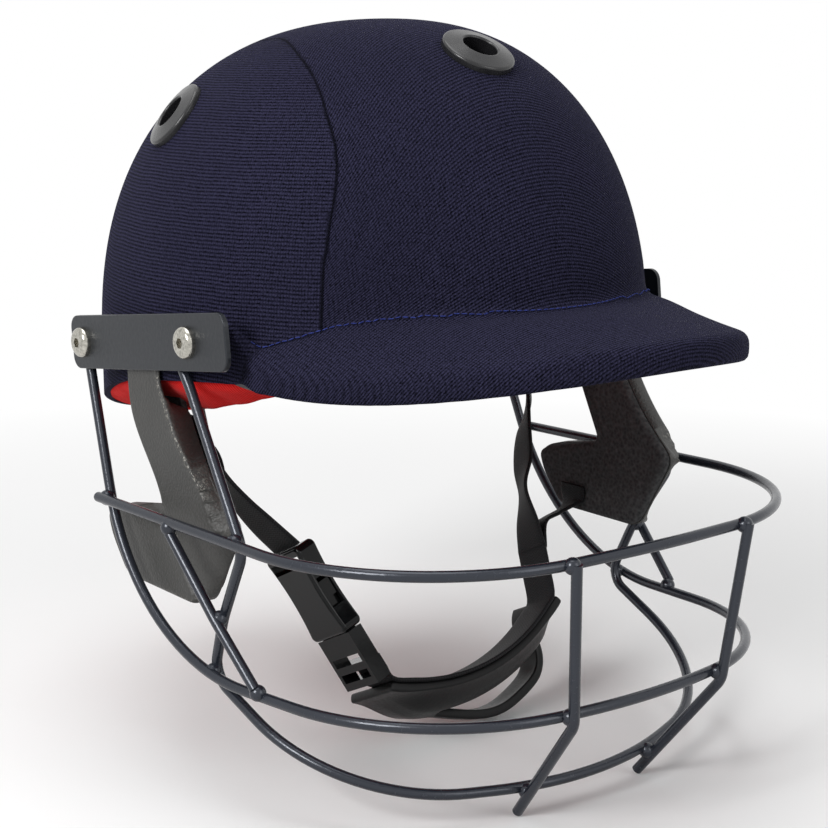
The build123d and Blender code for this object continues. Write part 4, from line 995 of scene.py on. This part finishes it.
def make_cheek_body(side, sign):
    right = side == "right"
    shift = np.array([0.0, 0.0]) if right else np.array([-SWING_AHEAD, SWING_UP], float)
    strip, lower, strip_end, lower_end, front = (
        np.array(line) + shift for line in (STRIP, LOWER, STRIP_END, LOWER_END, FRONT_EDGE)
    )

    def top(p, away):
        """Two raised blocks with round shoulders, and a facet that falls away to the front corner."""
        edge = round_edge(away, SHOULDER)
        in_strip, in_lower = inside(p, strip), inside(p, lower)
        foot = line_distance(p, strip_end)[0]
        ends = np.minimum(line_distance(p, lower_end)[0], foot)
        near = np.minimum(away, 14)
        facet = 1.0 + (CHEEK_THICK - 3.0) * near / (near + 0.35 * ends + 0.01)
        h = np.where(in_strip | in_lower, CHEEK_THICK - edge, np.minimum(facet, CHEEK_THICK - edge - 0.4))
        fall = np.where(in_strip, round_edge(foot, FOOT_ROUND), 0.0)
        fall = np.where(in_lower & ~in_strip, round_edge(ends, LOWER_ROUND), fall)
        return np.maximum(h - 0.8 * fall, LEAST)

    outline = cheek_line(side, tab=right)
    points, faces, away = slab(outline, top, [0.25, 0.7, 1.3, 2.1, 3.2], 1.9, [strip_end, lower_end])
    flat, height = points[:, :2], points[:, 2]
    # painted highlight: the skin is painted bright where light catches the lower block's edge and the strip's
    # front edge
    to_lower, left = line_distance(flat, lower_end)
    to_front, _ = line_distance(flat, front)
    # the painted highlight is strongest along the strip's front edge
    highlight_weight = np.where((to_front < 5) & inside(flat, strip), 0.95, 0.2)
    painted_highlight = np.exp(-(((to_lower - 1.0) / 0.8) ** 2)) * (left < 0)
    painted_highlight = (painted_highlight + np.exp(-(((away - 1.4) / 0.7) ** 2)) * highlight_weight) * (height > 4)
    x, y, z = CHEEK_IN + height, points[:, 0].copy(), points[:, 1]
    if right:
        # the inner side is drawn back from the front edge
        share = np.clip(height / CHEEK_THICK, 0, 1)
        y = y + DRAWN_BACK * (1 - share) * (1 - step(to_front, *DRAWN_REACH)) * step(z, *DRAWN_RISE)
        # the strip stands out over the cloth's edge and goes up behind the plate
        behind = step(z, *TAB_RISE)
        x = x + LEAN_OUT * step(z, *LEAN_RISE) * share
        inner = (1 - behind) * x + behind * np.maximum(x, TAB_IN)
        x = np.where(height < 0.4 * CHEEK_THICK, inner, np.maximum(x, behind * TAB_OUT))
    if sign < 0:
        faces = [tuple(reversed(f)) for f in faces]
    body = make_foam(
        f"cheek_body_{side}", np.column_stack([sign * x, y, z]), faces, np.column_stack([painted_highlight, away, away])
    )
    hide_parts(f"cheek_pad_{side}")


def make_left_hold():
    """The left pad's tab behind the plate, and its root that reaches forward inside to the pad."""

    def piece(name, ys, zs, reach, pitch, thick, place):
        (y0, y1), (z0, z1) = ys, zs
        corners = [(y0, z0), (y0, z1), (y1, z1), (y1, z0), (y0, z0 - 0.01)]
        outline = dense(rounded(corners, reach, 6)[:-1], pitch)
        points, faces, away = slab(outline, lambda p, d: thick - round_edge(d, 0.9), [0.3, 0.9, 2.0], 3.0)
        placed = np.column_stack([place(points), points[:, 0], points[:, 1]])
        make_foam(name, placed, faces, np.column_stack([away * 0, away, away]))

    piece(
        "cheek_tab_left", (-22, -1), (-16.8, 7), [4, 4, 3], 1.8, 2.2,
        lambda p: TAB_IN - 1.5 * (1 - step(p[:, 1], -16, -9)) + p[:, 2],
    )
    piece("cheek_root_left", (-44, -1), (-16.8, -9.2), [2, 2, 2], 1.6, 7.6, lambda p: 95.8 + p[:, 2])


def make_cheek_cloth(side, sign):
    def top(p, away):
        h = LINING_THICK - round_edge(away, CLOTH_EDGE) * 0.9
        fold = np.sin(p[:, 0] * 0.23 + 0.8 * np.sin(p[:, 1] * 0.11)) * np.sin(p[:, 1] * 0.17 + 0.4)
        return h + FOLD * fold * step(away, 1, 8) - 0.2

    outline = cheek_line(side, 2.6 if side == "right" else 0.6)
    points, faces, _ = slab(outline, top, [0.4, 1.0, 1.8, 2.8, 4.2], 2.2)
    placed = np.column_stack([sign * (CHEEK_IN - 0.1 - points[:, 2]), points[:, 0], points[:, 1]])
    if sign > 0:
        faces = [tuple(reversed(f)) for f in faces]
    thing = make_object(f"cheek_cloth_{side}", placed, faces, pad_cloth)
    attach(thing, "root")
    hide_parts(f"cheek_lining_{side}")


make_cheek_body("left", 1)
make_left_hold()
make_cheek_cloth("left", 1)
make_cheek_body("right", -1)
make_cheek_cloth("right", -1)


# Webbing

WEBBING_THICK, STRAP_WIDTH, REAR_STRAP_WIDTH = 1.8, 18, 14
# The thinner band along each edge, and by what share it is thinner
SELVEDGE, SELVEDGE_SHARE = 2.6, 0.12
# The chin cup's arc in the straps' plane: its middle, its inner radius, and the strap's radius on it
ARC_X, ARC_RISE, CUP_IN, CUP_THICK = -6, 97, 95.0, 4.0
STRAP_R = CUP_IN - 1.3


def on_loop(x, rise, out=0.0):
    """A point in space from its place in the straps' plane and how far in front of it."""
    return LOOP_AT + np.array([x, 0, 0]) + rise * LOOP_RISE + out * LOOP_OUT


def stations(places):
    """A strap's stations from (place across, place up, twist) in the straps' plane."""
    return [(on_loop(x, rise), twist) for x, rise, twist in places]


def arc_place(radius, degrees):
    """A place on the chin cup's arc, in the straps' plane."""
    a = math.radians(degrees)
    return np.array([ARC_X + radius * math.sin(a), ARC_RISE - radius * math.cos(a)])


def strap_section(half, edge):
    """Webbing's cross-section as (across, up): flat faces and round edges."""
    section = []
    for sign, turns in ((1, (45, 0, -45)), (-1, (225, 180, 135))):
        end = sign * (half - edge)
        for x in np.linspace(-end, end, 9):
            section.append((x, sign * edge * (1 - SELVEDGE_SHARE * (abs(x) > half - SELVEDGE))))
        for a in map(math.radians, turns):
            section.append((end + edge * math.cos(a), edge * math.sin(a)))
    return section


def strap(name, node, places, width, per_span=10):
    """Flat webbing through places (point, twist in degrees); untwisted, its width lies across the plane."""
    rows = curve_through([[*p, twist] for p, twist in places], per_span)
    centres, twists = rows[:, :3], np.radians(rows[:, 3])
    runs, lengths = np.gradient(centres, axis=0), distance_along(centres)
    section = strap_section(width / 2, WEBBING_THICK / 2)
    points, lays = [], []
    for centre, twist, run, length in zip(centres, twists, runs, lengths):
        run = unit(run)
        level = unit(LOOP_OUT - run * (LOOP_OUT @ run))
        across = level * math.cos(twist) + np.cross(run, level) * math.sin(twist)
        up = np.cross(run, across)
        for a, h in section:
            points.append(centre + a * across + h * up)
            lays.append((length, a, h))
    count, m = len(centres), len(section)
    faces = grid_faces(count, m, closed_columns=True)
    faces.append(tuple(range(m)))
    faces.append(tuple((count - 1) * m + j for j in reversed(range(m))))
    faces = [tuple(reversed(f)) for f in faces]
    thing = make_object(name, points, faces, webbing, lays={"weave": lays})
    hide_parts(node)
    return thing


buckle_top = np.array([-63.5, 67.0])
buckle_low = np.array([-43.5, 9.5])
reach = buckle_low - buckle_top
buckle_down = reach / np.linalg.norm(reach)
buckle_out = np.array([buckle_down[1], -buckle_down[0]])

front_places = [
    (-81.6, 160, 0), (-82.4, 147, 14), (-84.4, 131, 32), (-85.5, 114, 34), (-83.8, 101, 26),
    (-79.0, 89, 12), (-71.8, 78, 3), (*(buckle_top - 0.3 * buckle_down), 0),
]
right_front = strap("strap_right_webbing", "strap_right_front", stations(front_places), STRAP_WIDTH)
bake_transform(right_front)

front_places = [
    (81.6, 160, 0), (81.8, 144, 12), (82.4, 128, 34), (80.0, 113, 42), (71.2, 98, 20),
    (65.2, 83, 14), (60.6, 71, 30), (57.8, 57, 10), (56.2, 46, 0),
]
left_front = strap("strap_left_webbing", "strap_left_front", stations(front_places), STRAP_WIDTH)
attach(left_front, "root")

left_rear = [(88.9, -38, -65), (88.5, -38, -73), (76, -38.5, -77), on_loop(62.4, 55), on_loop(58.3, 45)]
right_rear = [(-88.9, -10, -16), (-88.9, -10, -24), on_loop(-86.8, 106), on_loop(-86.8, 98)]
chin_start = buckle_top + 0.86 * reach - 4.8 * buckle_out
chin = [chin_start, 0.5 * (chin_start + arc_place(STRAP_R, -20))]
chin += [arc_place(STRAP_R, a) for a in (*range(-20, 37, 7), 39)]
chin = [on_loop(*p) for p in (*chin, (54.9, 35), (56.4, 47))]
for name, node, places, width, per_span in (
    ("strap_left_rear_webbing", "strap_left_rear", left_rear, REAR_STRAP_WIDTH, 10),
    ("strap_right_rear_webbing", "strap_right_rear", right_rear, REAR_STRAP_WIDTH, 10),
    ("chin_webbing", "chin_strap", chin, STRAP_WIDTH, 4),
):
    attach(strap(name, node, [(p, 0) for p in places], width, per_span), "root")


# The chin cup: a moulded curved plate, two bands joined at both ends

# The cup's rows of points: how far each is in front of the straps' plane, and its angle along the arc
CUP_OUTS = [8.0, 6.8, 4.0, 1.5, -1.5, -3.8, -5.0, -11.0, -12.2, -14.5, -18.5, -20.8, -22.0]
CUP_ANGLES = [
    -20, -19.2, -16, -12, -8, -4, -2.8, -2, 1, 5, 9, 13, 17, 21, 25, 29, 32, 33.2, 34, 35.5, 37.5, 39.3, 40,
]
# The slot between the bands: its front edge and its two ends
SLOT_FRONT, SLOT_START, SLOT_END = -5.0, -2, 34
# The angles between which the dish and the rear band's sag begin and end
DISH_BEGINS, DISH_ENDS, SAG_BEGINS, SAG_ENDS = (-18, -7), (31, 39.5), (-4, 18), (28, 39)
# How far out the front band's front edge lies and how much further its rear edge; how far out the rear
# band lies, how much further it sags in its middle, and how much its rear edge rises
FRONT_DISH, FRONT_DROP, REAR_DISH, REAR_SAG, REAR_RISE = -1.5, 8.5, 8.0, 12.0, 1.5
FRONT_ACROSS, REAR_ACROSS = (-9, 5), (12, 22)


def make_cup():
    """A grid over (angle, out) with the slot left open, dished towards its middle, thickened and rounded."""
    points = []
    for a in CUP_ANGLES:
        dish = float(step(a, *DISH_BEGINS) * (1 - step(a, *DISH_ENDS)))
        sag = float(step(a, *SAG_BEGINS) * (1 - step(a, *SAG_ENDS)))
        for o in CUP_OUTS:
            front = FRONT_DISH + FRONT_DROP * float(step(-o, *FRONT_ACROSS))
            rear = REAR_DISH + REAR_SAG * sag - REAR_RISE * float(step(-o, *REAR_ACROSS))
            radius = CUP_IN + CUP_THICK / 2 + dish * (front if o >= SLOT_FRONT else rear)
            points.append(on_loop(*arc_place(radius, a), o))
    m = len(CUP_OUTS)
    faces = []
    for i, (a, after) in enumerate(zip(CUP_ANGLES, CUP_ANGLES[1:])):
        for j in range(m - 1):
            if CUP_OUTS[j] != SLOT_FRONT or a < SLOT_START or after > SLOT_END:
                faces.append((i * m + j, i * m + j + 1, (i + 1) * m + j + 1, (i + 1) * m + j))
    thing = make_object("chin_cup_body_shell", points, faces, cup_plastic)
    modifier(thing, "SOLIDIFY", thickness=CUP_THICK * MM, offset=0.0)
    modifier(thing, "SUBSURF", levels=2, render_levels=2)
    return thing


cup = make_cup()
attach(cup, "chin_cup_body")
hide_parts("chin_cup")


# The areas of the cover and the lining


def area_of(thing):
    return sum(p.area for p in thing.data.polygons)


print("cloth areas", round(area_of(cover), 4), round(area_of(lining), 4))


# Stage, light and camera

# The floor's gap under the part; the strength of the world's light, and of its look to the camera
FLOOR_GAP, WORLD_LIGHT, WORLD_LOOK = 0.0005, 0.42, 1.0
# How much of the light the floor seems to send back, and how much of it lights other things
FLOOR_LOOK, FLOOR_LIGHT = 0.94, 0.45
# Where the floor starts to turn plain white and where it is white, in metres from the part
FLOOR_FADE = (0.25, 0.7)


def make_floor():
    """A pale round floor whose far part turns plain white, so that it has no horizon."""
    rings, spokes, first, growth = 24, 96, 60, 1.33
    floor_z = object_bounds()[0].z - FLOOR_GAP
    points, faces = [(0, 0, 0)], []
    for i in range(1, rings + 1):
        r = first * growth**i
        for j in range(spokes):
            a = 2 * math.pi * j / spokes
            points.append((r * math.cos(a), r * math.sin(a), 0))
    for j in range(spokes):
        faces.append((0, 1 + j, 1 + (j + 1) % spokes))
    for a, b, c, d in grid_faces(rings, spokes, closed_columns=True):
        faces.append((1 + a, 1 + d, 1 + c, 1 + b))
    b = material_nodes("studio_floor")
    rays = b.add("LightPath").outputs
    base = b.mix(rays["Is Diffuse Ray"], [FLOOR_LOOK] * 3, [FLOOR_LIGHT] * 3)
    matt = b.surface(base, 0.9, 0.1)
    glow = b.add("Emission", (1, 1, 1, 1)).outputs[0]
    apart = b.add("VectorMath", b.place())
    apart.operation = "LENGTH"
    share = b.times(b.seen(rays), b.clamp(b.span(apart.outputs["Value"], *FLOOR_FADE)))
    b.add("OutputMaterial", b.add("MixShader", share, matt, glow).outputs[0])
    floor = make_object("studio_floor", points, faces, b.owner)
    floor.location.z = floor_z


make_floor()


def make_world():
    """A soft white light all round, plain white where the camera sees it."""
    world = bpy.data.worlds.new("studio")
    bpy.context.scene.world = world
    b = Build(world)
    soft, bright = (b.add("Background", (1, 1, 1, 1), s).outputs[0] for s in (WORLD_LIGHT, WORLD_LOOK))
    seen = b.seen(b.add("LightPath").outputs)
    b.add("OutputWorld", b.add("MixShader", seen, soft, bright).outputs[0])


make_world()


def lamp(name, place, target, size, power):
    data = bpy.data.lights.new(name, "AREA")
    data.shape = "RECTANGLE"
    data.size, data.size_y = size
    data.energy = power
    thing = bpy.data.objects.new(name, data)
    bpy.context.scene.collection.objects.link(thing)
    thing.location = Vector(place)
    thing.rotation_mode = "QUATERNION"
    thing.rotation_quaternion = (Vector(target) - Vector(place)).to_track_quat("-Z", "Y")


lamp("key_softbox", (-1.35, -0.3, 0.7), (0, -0.04, 0.0), (0.55, 0.55), 15)
lamp("fill_softbox", (0.3, -1.5, 0.6), (0, -0.04, 0.0), (0.8, 1.0), 5)
lamp("top_softbox", (-0.1, 0.1, 1.5), (0, 0, 0), (1.2, 0.9), 9)

# The camera's place and the way that it looks, solved from the photograph
CAMERA_AT = Vector((-0.4358, -0.5796, 0.1159))
FORWARD = Vector((0.6143, 0.7646, -0.1951)).normalized()
RIGHT = Vector((0.7796, -0.6263, 0.0)).normalized()

camera_data = bpy.data.cameras.new("camera")
camera_data.sensor_width = 36.0
camera_data.lens = 76.27
camera_data.clip_start, camera_data.clip_end = 0.02, 200.0
camera = bpy.data.objects.new("camera", camera_data)
bpy.context.scene.collection.objects.link(camera)
turn = Matrix((RIGHT, RIGHT.cross(FORWARD), -FORWARD)).transposed()
camera.matrix_world = Matrix.Translation(CAMERA_AT) @ turn.to_4x4()
bpy.context.scene.camera = camera
bpy.context.scene.view_settings.view_transform = "Standard"
